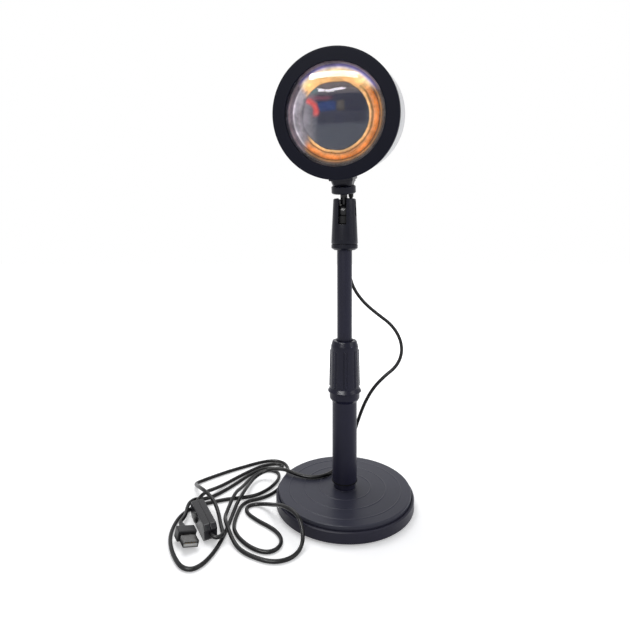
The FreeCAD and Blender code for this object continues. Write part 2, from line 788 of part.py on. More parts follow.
saddle_blank = doc.addObject("Part::Box", "saddle_blank")
bind(saddle_blank, Length="saddle_width", Width="saddle_depth",
     Height="neck_rise + saddle_wrap - (%s)" % NECK_TOP)
bind(saddle_blank, **{"Placement.Base.x": "-saddle_width / 2", "Placement.Base.y": "-saddle_depth / 2",
                      "Placement.Base.z": NECK_TOP})
drum_core = rod("drum_core", "drum_radius", "head_depth * 2",
                FreeCAD.Placement(V(0, size("head_depth"), head_rise), FreeCAD.Rotation(V(1, 0, 0), 90)))
neck_saddle = node(cut_from("neck_saddle", saddle_blank, drum_core, *screw_holes(
    "saddle_bore", "screw_radius", SCREW_SEAT + " - neck_screw_length", "neck_screw_length")))
neck_saddle.Placement = head_place

# ---------------------------------------------------------------- lamp head
RING_RADIUS = "drum_radius + ring_overhang"
RING_WINDOW = "lens_radius - ring_lap"
RING_BACK = "head_depth - ring_depth"
LENS_FACE = "head_depth - ring_lip"
LENS_BACK = LENS_FACE + " - lens_edge"
DRUM_BORE = "drum_radius - drum_wall"
RING_SPIGOT = DRUM_BORE + " - running_gap"
bezel_ring = node(turned("bezel_ring", [
    (RING_WINDOW, LENS_FACE),
    (RING_WINDOW, "head_depth - window_edge"),
    (RING_WINDOW + " + window_edge", "head_depth"),
    (RING_RADIUS + " - ring_edge", "head_depth"),
    (RING_RADIUS + " - ring_edge * 0.3", "head_depth - ring_edge * 0.3"),
    (RING_RADIUS, "head_depth - ring_edge"),
    (RING_RADIUS, RING_BACK),
    (RING_SPIGOT, RING_BACK),
    (RING_SPIGOT, RING_BACK + " - drum_front_lap"),
    (RING_SPIGOT + " - spigot_wall", RING_BACK + " - drum_front_lap"),
    (RING_SPIGOT + " - spigot_wall", RING_BACK),
    ("lens_radius + seat_gap", RING_BACK),
    ("lens_radius + seat_gap", LENS_FACE)], optic_place))

DOME = "(((%s) ^ 2 + lens_crown ^ 2) / (2 * lens_crown))" % RING_WINDOW
lens_edge = rod("lens_edge_disc", "lens_radius", "lens_edge", bottom=LENS_BACK)
lens_core = rod("lens_core", RING_WINDOW + " - seat_gap", "lens_edge + lens_crown", bottom=LENS_BACK)
lens_ball = doc.addObject("Part::Sphere", "lens_ball")
bind(lens_ball, Radius=DOME)
bind(lens_ball, **{"Placement.Base.z": LENS_FACE + " + lens_crown - " + DOME})
lens_cap = doc.addObject("Part::Common", "lens_cap")
lens_cap.Base = lens_core
lens_cap.Tool = lens_ball
dome_lens = node(fused("dome_lens", lens_edge, lens_cap))
dome_lens.Placement = optic_place

GASKET_BACK = LENS_BACK + " - gasket_depth"
lens_gasket = node(turned("lens_gasket", [
    ("lens_radius - gasket_width", GASKET_BACK),
    ("lens_radius", GASKET_BACK),
    ("lens_radius", LENS_BACK),
    ("lens_radius - gasket_width", LENS_BACK)], optic_place))

HOLDER_BACK = GASKET_BACK + " - holder_depth"
FILTER_BACK = GASKET_BACK + " - filter_depth"
HOLDER_RADIUS = RING_SPIGOT + " - spigot_wall - seat_gap"
filter_holder = node(turned("filter_holder", [
    ("holder_bore", HOLDER_BACK),
    (HOLDER_RADIUS, HOLDER_BACK),
    (HOLDER_RADIUS, RING_BACK + " - seat_gap"),
    ("lens_radius", RING_BACK + " - seat_gap"),
    ("lens_radius", GASKET_BACK),
    ("filter_radius + seat_gap", GASKET_BACK),
    ("filter_radius + seat_gap", FILTER_BACK),
    ("holder_bore", FILTER_BACK)], optic_place))
color_filter = node(turned("color_filter", [
    ("0", FILTER_BACK), ("filter_radius", FILTER_BACK),
    ("filter_radius", GASKET_BACK + " - seat_gap"), ("0", GASKET_BACK + " - seat_gap")], optic_place))

CUP_BACK = HOLDER_BACK + " - cup_depth"
reflector_cup = node(turned("reflector_cup", [
    ("cup_throat", CUP_BACK),
    ("cup_throat + cup_wall", CUP_BACK),
    ("holder_bore - cup_bite", HOLDER_BACK + " - cup_wall"),
    ("holder_bore + cup_flange", HOLDER_BACK + " - cup_wall"),
    ("holder_bore + cup_flange", HOLDER_BACK),
    ("holder_bore - cup_bite - cup_wall", HOLDER_BACK)], optic_place))

BOARD_BACK = CUP_BACK + " - board_depth"
led_board = node(turned("led_board", [
    ("0", BOARD_BACK), ("board_radius", BOARD_BACK),
    ("board_radius", CUP_BACK), ("0", CUP_BACK)], optic_place))
led_chip = node(padded("led_chip", "XY_Plane", oblong("chip_side", "chip_side"), "chip_depth",
                       level=CUP_BACK, place=optic_place))

SINK_BACK = BOARD_BACK + " - sink_plate"
sink_disc = rod("sink_disc", RING_SPIGOT, "sink_plate", bottom=SINK_BACK)
fin_row = []
for index in range(int(size("fin_count"))):
    fin = doc.addObject("Part::Box", "fin_%d" % index)
    bind(fin, Length="fin_depth", Width="fin_length", Height="fin_height + fin_root")
    bind(fin, **{"Placement.Base.x": "(%d - (fin_count - 1) / 2) * fin_pitch - fin_depth / 2" % index,
                 "Placement.Base.y": "-fin_length / 2", "Placement.Base.z": SINK_BACK + " - fin_height"})
    fin_row.append(fin)
heat_sink = node(fused("heat_sink", sink_disc, *fin_row))
heat_sink.Placement = optic_place
DRIVER_FRONT = SINK_BACK + " - fin_height"
driver_board = node(padded("driver_board", "XY_Plane", oblong("driver_width", "driver_height"),
                           "driver_depth", level=DRIVER_FRONT + " - driver_depth", place=optic_place))

# rear cover and drum
COVER_OUT = "cover_radius"
SPIGOT_FRONT = "cover_depth + cover_spigot"
rear_cover = node(turned("rear_cover", [
    ("0", "0"),
    (COVER_OUT + " - cover_slope", "0"),
    (COVER_OUT + " - cover_edge", "cover_edge"),
    (COVER_OUT, "cover_slope"),
    ("drum_radius", "cover_depth"),
    (RING_SPIGOT, "cover_depth"),
    (RING_SPIGOT, SPIGOT_FRONT),
    (RING_SPIGOT + " - cover_wall", SPIGOT_FRONT),
    (RING_SPIGOT + " - cover_wall", "cover_wall + cover_fillet"),
    (RING_SPIGOT + " - cover_wall - cover_fillet", "cover_wall"),
    ("0", "cover_wall")], optic_place))


def vent_slots(sketch):
    for index in range(int(size("vent_count"))):
        level = "(%d - (vent_count - 1) / 2) * vent_pitch" % index
        low, high = level + " - vent_width / 2", level + " + vent_width / 2"
        polygon(sketch, [("-vent_length / 2", low), ("vent_length / 2", low),
                         ("vent_length / 2", high), ("-vent_length / 2", high)])


pocket(rear_cover, "vents", "XY_Plane", vent_slots, length="cover_wall + cut_over", backwards=True)


def lug_corners(inner, outer, width):
    """Rectangle from one radius to another, along the diagonal between X and Y."""
    half, other_half = "(%s) / 2" % width, "(-%s) / 2" % width
    corners = ((inner, half), (outer, half), (outer, other_half), (inner, other_half))
    return [("(%s + %s) * cos(45)" % (reach, side), "(%s - %s) * cos(45)" % (reach, side))
            for reach, side in corners]


def raised(body, name, draw, low, length, count):
    """Pad drawn at a level above the XY plane and repeated about Z."""
    sketch = new_sketch(body, name + "_outline", "XY_Plane")
    bind(sketch, **{"AttachmentOffset.Base.z": low})
    draw(sketch)
    pad = body.newObject("PartDesign::Pad", name)
    pad.Profile = sketch
    bind(pad, Length=length)
    around(body, pad, count)
    doc.recompute()


def at_screw(radius):
    """Circle at the first cover screw's place."""
    return lambda s: circle(s, "screw_circle * cos(45)", "screw_circle * cos(45)", radius)


raised(rear_cover, "cover_bosses", at_screw("screw_boss"), "cover_wall - fin_root",
       SPIGOT_FRONT + " - cover_wall + fin_root", "screw_count")
pocket(rear_cover, "cover_holes", "XY_Plane", at_screw("screw_radius + seat_gap"),
       length=SPIGOT_FRONT + " + cut_over", backwards=True, count="screw_count")
pocket(rear_cover, "cover_counterbores", "XY_Plane", at_screw("screw_head + seat_gap"),
       length="screw_head_depth + seat_gap", backwards=True, count="screw_count")

drum_housing = node(turned("drum_housing", [
    (DRUM_BORE, "cover_depth"),
    ("drum_radius", "cover_depth"),
    ("drum_radius", "groove_rear"),
    ("drum_radius - groove_depth", "groove_rear"),
    ("drum_radius - groove_depth", "groove_rear + groove_width"),
    ("drum_radius", "groove_rear + groove_width"),
    ("drum_radius", "groove_front"),
    ("drum_radius - groove_depth", "groove_front"),
    ("drum_radius - groove_depth", "groove_front + groove_width"),
    ("drum_radius", "groove_front + groove_width"),
    ("drum_radius", RING_BACK),
    (DRUM_BORE, RING_BACK)], optic_place))
raised(drum_housing, "drum_lugs",
       lambda s: polygon(s, lug_corners("screw_circle - screw_boss - lug_margin", DRUM_BORE + " + lug_root",
                                        "screw_boss * 2")),
       SPIGOT_FRONT + " + seat_gap", "lug_length", "screw_count")
pocket(drum_housing, "lug_holes", "XY_Plane", at_screw("screw_radius"),
       length=SPIGOT_FRONT + " + seat_gap + lug_length - lug_margin", backwards=True, count="screw_count")
GLAND_LEVEL = "head_depth - head_forward - gland_back"
pocket(drum_housing, "gland_hole", "XZ_Plane",
       lambda s: circle(s, "gland_side", GLAND_LEVEL, "gland_radius + seat_gap"),
       length="drum_radius + cut_over", backwards=True)

for step, reach in enumerate(("neck_screw_reach", "-neck_screw_reach"), start=1):
    pocket(drum_housing, "neck_screw_hole_%d" % step, "XZ_Plane",
           lambda s: circle(s, "0", "head_depth - head_forward - (%s)" % reach, "screw_radius + seat_gap"),
           length="drum_radius + cut_over", backwards=True)

screw_places = ring_places(int(size("screw_count")), size("screw_circle"),
                           value("screw_head_depth + seat_gap"), first=45.0)
heads_back = FreeCAD.Placement(V(0, 0, 0), FreeCAD.Rotation(V(1, 0, 0), 180))
cover_screws = node(group("cover_screws", [
    placed(screw(size("screw_radius"), size("cover_screw_length"), size("screw_head"),
                 size("screw_head_depth"), size("screw_slot")), spot.multiply(heads_back))
    for spot in screw_places], optic_place))

# neck screws hold the drum down on the saddle, their heads inside the drum
neck_screws = node(group("neck_screws", [
    placed(screw(size("screw_radius"), size("neck_screw_length"), size("screw_head"),
                 size("screw_head_depth"), size("screw_slot")),
           FreeCAD.Placement(V(0, across, value(SCREW_SEAT + " + seat_gap")), FreeCAD.Rotation()))
    for across in (-size("neck_screw_reach"), size("neck_screw_reach"))], head_place))

# cord gland and its flexible boot, behind the stud
gland_x, gland_y = size("gland_side"), size("gland_back")
drum_skin = head_rise - math.sqrt(size("drum_radius") ** 2 - gland_x ** 2)
gland_place = head_place.multiply(FreeCAD.Placement(V(gland_x, gland_y, drum_skin), FreeCAD.Rotation()))
cord_gland = node(turned("cord_gland", [
    ("0", "-gland_drop"),
    ("gland_radius", "-gland_drop"),
    ("gland_radius + gland_flange", "-gland_drop + gland_slope"),
    ("gland_radius + gland_flange", "-gland_neck"),
    ("gland_radius", "-gland_neck"),
    ("gland_radius", "drum_wall + gland_lock"),
    ("0", "drum_wall + gland_lock")], gland_place))
cord_boot = node(turned("cord_boot", [
    ("0", "-gland_drop - boot_length"),
    ("boot_tip_radius", "-gland_drop - boot_length"),
    ("gland_radius - boot_step", "-gland_drop"),
    ("0", "-gland_drop")], gland_place))

# ---------------------------------------------------------------- in-line switch
# It lies on its edge on the floor; its button faces away to the left.
# Switch frame: origin on the floor under its middle, X towards its near end, Z up, button on -Y.
switch_place = FreeCAD.Placement(V(-119.2, -36.0, 0.0), FreeCAD.Rotation(V(0, 0, 1), -61.9))
SWITCH_MIDDLE = "switch_height / 2 + floor_gap"
switch_middle = value(SWITCH_MIDDLE)


def switch_half(label, backwards):
    """One moulded half of the switch, open towards the parting plane."""
    def outline(inset):
        end, nose = "(switch_length / 2 - %s)" % inset, "(switch_length / 2 - switch_nose - %s)" % inset
        low, high = "(floor_gap + %s)" % inset, "(switch_height + floor_gap - %s)" % inset
        return [("-" + nose, low), (nose, low), (end, SWITCH_MIDDLE + " - switch_end / 2"),
                (end, SWITCH_MIDDLE + " + switch_end / 2"), (nose, high), ("-" + nose, high),
                ("-" + end, SWITCH_MIDDLE + " + switch_end / 2"),
                ("-" + end, SWITCH_MIDDLE + " - switch_end / 2")]
    half = padded(label, "XZ_Plane", outline("0"), "switch_width / 2",
                  backwards=backwards, place=switch_place)
    pocket(half, label + "_hollow", "XZ_Plane", lambda s: polygon(s, outline("switch_wall")),
           length="switch_width / 2 - switch_wall", backwards=not backwards)
    return half


switch_front = node(switch_half("switch_front", False))
pocket(switch_front, "button_hole", "XZ_Plane",
       lambda s: circle(s, "button_shift", SWITCH_MIDDLE, "button_radius + seat_gap"),
       length="switch_width", backwards=True)
switch_back = node(switch_half("switch_back", True))
switch_core = node(padded("switch_core", "XZ_Plane", [
    ("-switch_core_length / 2", SWITCH_MIDDLE + " - switch_core_height / 2"),
    ("switch_core_length / 2", SWITCH_MIDDLE + " - switch_core_height / 2"),
    ("switch_core_length / 2", SWITCH_MIDDLE + " + switch_core_height / 2"),
    ("-switch_core_length / 2", SWITCH_MIDDLE + " + switch_core_height / 2")],
    "switch_width / 2 - switch_wall", backwards=True, place=switch_place))
button_tail = value("switch_width / 2 + button_proud")
button_start = FreeCAD.Placement(V(size("button_shift"), -button_tail, switch_middle),
                                 FreeCAD.Rotation(V(1, 0, 0), -90))
button_length = "switch_width / 2 + button_proud - button_travel - seat_gap"
switch_button = node(turned("switch_button", [
    ("0", "0"), ("button_radius - button_round", "0"), ("button_radius", "button_round"),
    ("button_radius", button_length), ("0", button_length)], switch_place.multiply(button_start)))
switch_screws = node(group("switch_screws", [
    placed(screw(size("small_screw_radius"), size("small_screw_length"), size("small_screw_head"),
                 size("small_screw_depth"), size("small_screw_slot")),
           FreeCAD.Placement(V(reach, size("switch_width") / 2, switch_middle),
                             FreeCAD.Rotation(V(1, 0, 0), -90)))
    for reach in (-size("switch_screw_reach"), size("switch_screw_reach"))], switch_place))

# ---------------------------------------------------------------- plug
# It leans on the edge of its moulding. Plug frame: X out of the plug's mouth, Z across its wide side.
plug_place = FreeCAD.Placement(V(-131.6, -49.8, 5.84), FreeCAD.Rotation(V(0, 0, 1), -60.0)).multiply(
    FreeCAD.Placement(V(0, 0, 0), FreeCAD.Rotation(V(1, 0, 0), 76.0)))


def plug_block(label, start, length, across, wide):
    """Block of the plug, between two distances along its axis."""
    return padded(label, "YZ_Plane", oblong(across, wide), length, level=start, place=plug_place)


plug_grip = node(plug_block("plug_grip", "0", "plug_grip_length", "plug_grip_across", "plug_grip_wide"))
plug_shell = node(plug_block("plug_shell", "plug_grip_length", "plug_shell_length", "plug_shell_across",
                             "plug_shell_wide"))
pocket(plug_shell, "plug_mouth", "YZ_Plane",
       lambda s: polygon(s, oblong("plug_shell_across - 2 * plug_shell_wall",
                                   "plug_shell_wide - 2 * plug_shell_wall")),
       length="plug_grip_length + plug_shell_length + cut_over", backwards=True)
TONGUE_BACK = "-plug_shell_across / 2 + plug_shell_wall"
TONGUE_FACE = TONGUE_BACK + " + plug_tongue_depth"
TONGUE_EDGE = "(plug_shell_wide / 2 - plug_shell_wall)"
plug_tongue = node(padded("plug_tongue", "YZ_Plane", [
    (TONGUE_BACK, "-" + TONGUE_EDGE), (TONGUE_FACE, "-" + TONGUE_EDGE),
    (TONGUE_FACE, TONGUE_EDGE), (TONGUE_BACK, TONGUE_EDGE)],
    "plug_shell_length - tongue_short", level="plug_grip_length", place=plug_place))
plug_contacts = node(group("plug_contacts", [
    Part.makeBox(value("plug_shell_length - 3 * tongue_short"), size("contact_depth"),
                 size("contact_width"),
                 V(value("plug_grip_length + tongue_short"), value(TONGUE_FACE),
                   size("contact_pitch") * (index - 1.5) - size("contact_width") / 2))
    for index in range(4)], plug_place))
plug_boot = node(turned("plug_boot", [
    ("0", "0"), ("cord_radius + plug_boot_end", "0"), ("cord_radius + plug_boot_start", "plug_boot_length"),
    ("0", "plug_boot_length")], plug_place.multiply(
        FreeCAD.Placement(V(-size("plug_boot_length"), 0, 0), FreeCAD.Rotation(V(0, 1, 0), 90)))))

# ---------------------------------------------------------------- cord
# Points of the cord's route, chosen by hand: it hangs behind the column, swings out to the right,
# comes back behind the lower tube, crosses the base and lies in loose loops on the floor to the left.
# It leaves the boot, both ends of the switch and the plug's relief square to them.
boot_tip, boot_lead = [gland_place.multVec(V(0, 0, -value("gland_drop + boot_length" + more)))
                       for more in ("", " + boot_run")]
near_end, near_lead = [switch_place.multVec(V(value("switch_length / 2" + more), 0, switch_middle))
                       for more in ("", " + switch_run")]
far_end, far_lead = [switch_place.multVec(V(-value("switch_length / 2" + more), 0, switch_middle))
                     for more in ("", " + switch_run")]
lead_end, plug_lead = [plug_place.multVec(V(-value("plug_boot_length" + more), 0, 0))
                       for more in ("", " + plug_run")]
LAMP_CORD = [
    tuple(boot_tip), tuple(boot_lead), (8.2, 18.6, 243.0), (6.6, 19.2, 225.0), (4.6, 17.6, 208.0),
    (9.0, 16.2, 191.5), (19.0, 16.5, 178.0), (32.0, 17.5, 167.0), (45.5, 18.5, 157.0),
    (54.0, 19.0, 143.5), (55.5, 19.0, 129.5), (50.0, 19.5, 117.0), (38.5, 20.5, 107.5),
    (28.5, 21.5, 96.5), (21.0, 23.0, 83.0), (15.5, 25.5, 67.5), (11.0, 28.5, 51.5), (6.0, 31.0, 36.5),
    (-0.5, 30.0, 23.5), (-8.5, 22.5, 17.4), (-19.5, 13.0, 16.9), (-32.5, 11.5, 16.8),
    (-44.0, 16.5, 17.2), (-54.5, 23.5, 18.0), (-62.5, 34.0, 13.5), (-71.0, 41.0, 9.5),
    (-79.0, 41.5, 6.4), (-85.5, 36.0, 4.4), (-88.8, 24.0, 4.6), (-90.5, 10.5, 6.9), (-93.0, -1.5, 6.9),
    (-96.0, -8.5, 3.4), (-97.2, -17.5, 1.7), (-98.0, -29.5, 1.7), (-98.6, -40.5, 1.7),
    (-99.8, -51.5, 1.7), (-101.5, -63.0, 1.7), (-104.5, -74.0, 1.7), (-109.0, -84.0, 1.7),
    (-115.5, -89.5, 1.7), (-123.5, -87.0, 1.7), (-130.5, -78.0, 1.7), (-137.0, -66.5, 1.7),
    (-142.0, -53.0, 1.7), (-143.5, -38.5, 1.7), (-142.0, -24.5, 1.7), (-136.5, -13.5, 1.7),
    (-127.5, -6.5, 1.7), (-116.5, -1.5, 1.7), (-105.5, 2.5, 1.7), (-93.0, 4.5, 1.7), (-81.5, 8.0, 1.7),
    (-72.0, 17.0, 1.7), (-65.5, 28.0, 1.7), (-62.0, 39.0, 1.7), (-63.0, 49.5, 1.7), (-69.5, 55.0, 1.7),
    (-78.0, 54.5, 1.7), (-85.5, 47.3, 1.7), (-91.5, 35.0, 1.7), (-95.8, 17.0, 4.0), (-98.6, 5.5, 6.9),
    (-100.5, -8.0, 6.9), (-102.4, -19.0, 3.6), (-102.8, -28.5, 3.6), (-100.4, -39.0, 6.9),
    (-96.0, -50.0, 6.9), (-91.5, -57.5, 3.4), (-86.5, -64.5, 1.7), (-79.5, -71.5, 1.7),
    (-70.0, -77.0, 1.7), (-61.0, -80.5, 1.7), (-52.0, -80.5, 1.7), (-44.0, -76.5, 1.7),
    (-38.5, -69.5, 2.2), (-36.0, -62.5, 5.0), (-36.5, -57.0, 10.5), (-38.5, -52.5, 16.0),
    (-43.0, -46.5, 18.2), (-50.0, -39.5, 18.2), (-56.0, -31.0, 15.4), (-62.0, -21.5, 10.0),
    (-69.0, -11.5, 5.0), (-76.0, -6.5, 2.2), (-82.0, -6.5, 1.7), (-86.2, -9.8, 1.7),
    (-86.8, -15.3, 1.7), (-84.0, -20.8, 1.7), (-79.5, -25.8, 1.7), (-73.5, -31.5, 1.7),
    (-65.0, -38.0, 1.7), (-57.5, -45.5, 1.7), (-53.0, -54.5, 1.7), (-53.5, -63.0, 1.7),
    (-58.0, -69.0, 1.7), (-65.0, -70.5, 1.7), (-74.0, -66.5, 1.7), (-82.0, -59.5, 1.7),
    (-89.0, -50.5, 1.7), (-93.5, -40.5, 1.7), (-94.0, -29.5, 1.7), (-93.2, -18.5, 1.7),
    (-91.8, -8.0, 1.7), (-86.5, -0.5, 1.7), (-78.0, 2.3, 1.7), (-68.5, 8.5, 1.7), (-60.5, 19.5, 1.7),
    (-56.5, 32.5, 1.7), (-54.0, 46.0, 1.7), (-54.0, 58.5, 1.7), (-58.0, 69.5, 1.7), (-66.5, 75.5, 1.7),
    (-77.0, 75.0, 1.7), (-88.5, 69.5, 1.7), (-101.0, 61.5, 1.7), (-114.0, 53.0, 1.7),
    (-126.0, 43.5, 1.7), (-136.0, 35.0, 1.7), (-141.5, 27.5, 2.6), (-137.5, 17.5, 5.8),
    (-132.5, 6.5, 10.4), (-126.0, -4.0, 13.2), (-120.5, -9.5, 12.4), (-114.8, -15.5, 10.2),
    (-110.6, -22.5, 7.6), (-107.4, -30.0, 5.8), (-104.9, -37.8, 5.2), (-102.6, -45.0, 5.4),
    (-100.4, -51.6, 6.0), (-99.3, -55.8, 6.2), (-100.8, -58.8, 6.3), (-103.9, -60.0, 6.4),
    tuple(near_lead), tuple(near_end)]
PLUG_CORD = [
    tuple(far_end), tuple(far_lead), (-129.6, -7.8, 8.0), (-127.4, -1.8, 8.4), (-125.0, 6.0, 7.0),
    (-121.5, 14.0, 4.4), (-114.5, 26.5, 1.7), (-104.0, 40.0, 1.7), (-93.5, 52.5, 1.7),
    (-82.5, 63.3, 1.7), (-75.0, 66.8, 1.7), (-68.0, 68.6, 1.7), (-63.0, 67.6, 1.7), (-60.2, 64.9, 1.7),
    (-60.6, 61.1, 1.7), (-63.6, 58.9, 1.7), (-70.5, 59.2, 1.7), (-78.2, 58.5, 1.7), (-86.0, 53.7, 1.7),
    (-94.0, 43.0, 1.7), (-102.5, 29.5, 1.7), (-111.5, 16.5, 1.7), (-120.0, 6.5, 1.7),
    (-128.5, 0.5, 2.4), (-133.8, -5.5, 6.2), (-137.0, -12.5, 6.8), (-137.3, -19.5, 5.6),
    (-136.3, -26.0, 4.8), (-136.6, -33.0, 5.2), tuple(plug_lead), tuple(lead_end)]


def corner_bend(before, corner, after):
    """Bend at a corner of the route: tangent points, middle point and radius of its arc."""
    back, ahead = before - corner, after - corner
    shorter = min(back.Length, ahead.Length)
    half_turn = (math.pi - back.getAngle(ahead)) / 2
    reach = 0.45 * shorter
    radius = reach / math.tan(half_turn)
    start = corner + back.normalize() * reach
    end = corner + ahead.normalize() * reach
    inward = (start + end) * 0.5 - corner
    middle = corner + inward.normalize() * (radius / math.cos(half_turn) - radius)
    return start, middle, end, radius, 2 * math.degrees(half_turn)


def cord_path(points):
    """Straight runs joined by tangent arcs, as a wire, with its length and the arcs' radii."""
    edges, radii, here = [], [], points[0]
    for before, corner, after in zip(points, points[1:], points[2:]):
        start, middle, end, radius, turn = corner_bend(before, corner, after)
        edges += [Part.LineSegment(here, start).toShape(), Part.Arc(start, middle, end).toShape()]
        radii.append((radius, turn))
        here = end
    edges.append(Part.LineSegment(here, points[-1]).toShape())
    return Part.Wire(edges), radii


def cord_stretch(label, points):
    """Node with one stretch of cord along its points."""
    path, radii = cord_path(points)
    section = Part.Wire([Part.makeCircle(size("cord_radius"), points[0], points[1] - points[0])])
    tube = path.makePipeShell([section], True, False)
    drawn = math.pi * size("cord_radius") ** 2 * path.Length
    if abs(tube.Volume / drawn - 1) > 0.01:
        raise ValueError(label + " has the wrong volume")
    tight = min(radii)
    print("%-14s length %6.1f  least radius %5.1f  largest turn %4.1f" %
          (label, path.Length, tight[0], max(turn for _, turn in radii)))
    feature = doc.addObject("Part::Feature", label)
    feature.Label = label
    feature.Shape = tube
    return node(feature)


def cord_nodes(route, pieces):
    """Stretches of a route as nodes; each piece names its first and last point, cut at mid-run."""
    points = [V(*spot) for spot in route]
    for label, first, last in pieces:
        part = points[first:last + 1]
        if first > 0:
            part.insert(0, (points[first - 1] + points[first]) * 0.5)
        if last < len(points) - 1:
            part.append((points[last] + points[last + 1]) * 0.5)
        cord_stretch(label, part)


cord_nodes(LAMP_CORD, [("cord_drop", 0, 18), ("cord_base_run", 19, 27), ("cord_left_loop", 28, 49),
                       ("cord_return", 50, 68), ("cord_front_loop", 69, 83), ("cord_inner_loop", 84, 103),
                       ("cord_back_run", 104, len(LAMP_CORD) - 1)])
cord_nodes(PLUG_CORD, [("cord_plug_run", 0, len(PLUG_CORD) - 1)])

# ---------------------------------------------------------------- last steps
doc.recompute()
faulty = [o.Name for o in doc.Objects if {"Invalid", "Error"} & set(o.State)]
if faulty:
    raise ValueError("these objects failed: " + ", ".join(faulty))
for piece in NODES:
    if piece.Shape.isNull() or not piece.Shape.isValid() or not piece.Shape.Solids:
        raise ValueError(piece.Label + " has no valid solid")
os.makedirs("parts", exist_ok=True)
for piece in NODES:
    piece.Shape.exportStep("parts/%s.step" % piece.Label)
print(len(NODES), "nodes")
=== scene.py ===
import json
import math
import bmesh
import bpy
import numpy as np
from mathutils import Matrix, Vector


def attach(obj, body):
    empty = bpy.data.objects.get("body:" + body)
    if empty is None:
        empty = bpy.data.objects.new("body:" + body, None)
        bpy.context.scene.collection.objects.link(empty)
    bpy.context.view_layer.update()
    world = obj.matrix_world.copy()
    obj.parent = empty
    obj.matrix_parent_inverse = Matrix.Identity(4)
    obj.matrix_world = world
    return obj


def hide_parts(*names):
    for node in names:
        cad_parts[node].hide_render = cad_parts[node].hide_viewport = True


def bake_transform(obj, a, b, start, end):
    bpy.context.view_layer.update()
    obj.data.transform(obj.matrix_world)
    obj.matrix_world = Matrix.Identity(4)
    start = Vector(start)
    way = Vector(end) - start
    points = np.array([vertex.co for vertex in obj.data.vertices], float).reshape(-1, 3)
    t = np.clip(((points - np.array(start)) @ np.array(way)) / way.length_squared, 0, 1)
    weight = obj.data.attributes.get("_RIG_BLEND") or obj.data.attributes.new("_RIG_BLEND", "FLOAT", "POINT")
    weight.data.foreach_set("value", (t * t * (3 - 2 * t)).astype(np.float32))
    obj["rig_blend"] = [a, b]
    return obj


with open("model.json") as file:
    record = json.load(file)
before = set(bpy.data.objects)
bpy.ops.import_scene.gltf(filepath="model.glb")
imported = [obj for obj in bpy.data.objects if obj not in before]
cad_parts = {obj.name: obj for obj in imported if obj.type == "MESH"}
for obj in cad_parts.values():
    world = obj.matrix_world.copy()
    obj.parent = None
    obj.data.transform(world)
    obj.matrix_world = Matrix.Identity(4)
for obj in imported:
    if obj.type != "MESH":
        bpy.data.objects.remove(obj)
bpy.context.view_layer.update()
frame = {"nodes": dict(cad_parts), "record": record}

scene = bpy.context.scene
scene.view_settings.view_transform = "Standard"

# ---- View -----------------------------------------------------------------------------------
# A level camera a little to the left of the lamp, as high as its neck and near enough to look
# down on the base. Its frame is shifted down, since most of the lamp lies below that height.
view_data = bpy.data.cameras.new("view")
view_data.sensor_width = 36.0
view_data.lens = 27.71
view_data.shift_y = -0.135
view_data.clip_start = 0.01
view = bpy.data.objects.new("view", view_data)
view.location = (-0.0267, -0.438, 0.2461)
view.rotation_euler = (math.radians(90), 0, 0)
scene.collection.objects.link(view)
scene.camera = view


# ---- Lead -----------------------------------------------------------------------------------
# A thin two-core lead with a black PVC jacket, 3.2 mm thick, limp. It comes out of the boot
# behind the neck, hangs in a bow beside the column, crosses the base and lies in loose loops.
def route(name, points):
    """NURBS curve of order 3 guided by points in metres, from the first to the last."""
    data = bpy.data.curves.new(name, "CURVE")
    data.dimensions = "3D"
    data.resolution_u = 6
    spline = data.splines.new("NURBS")
    spline.points.add(len(points) - 1)
    weighted = np.c_[np.array(points), np.ones(len(points))]
    spline.points.foreach_set("co", weighted.astype(np.float32).ravel())
    spline.order_u = 3
    spline.use_endpoint_u = True
    return data


def lying_lead(name, points, radius):
    """Curve with a round section that follows its route."""
    data = route(name, points)
    data.bevel_depth = radius
    data.bevel_resolution = 4
    data.use_fill_caps = True
    lead = bpy.data.objects.new(name, data)
    scene.collection.objects.link(lead)
    return lead


def mesh_object(name, points, faces, smooth=True):
    """Object with a mesh of the points and faces, linked to the scene, at the origin."""
    mesh = bpy.data.meshes.new(name)
    mesh.from_pydata(np.asarray(points).tolist(), [], faces)
    mesh.polygons.foreach_set("use_smooth", np.full(len(mesh.polygons), smooth))
    mesh.update()
    piece = bpy.data.objects.new(name, mesh)
    scene.collection.objects.link(piece)
    return piece


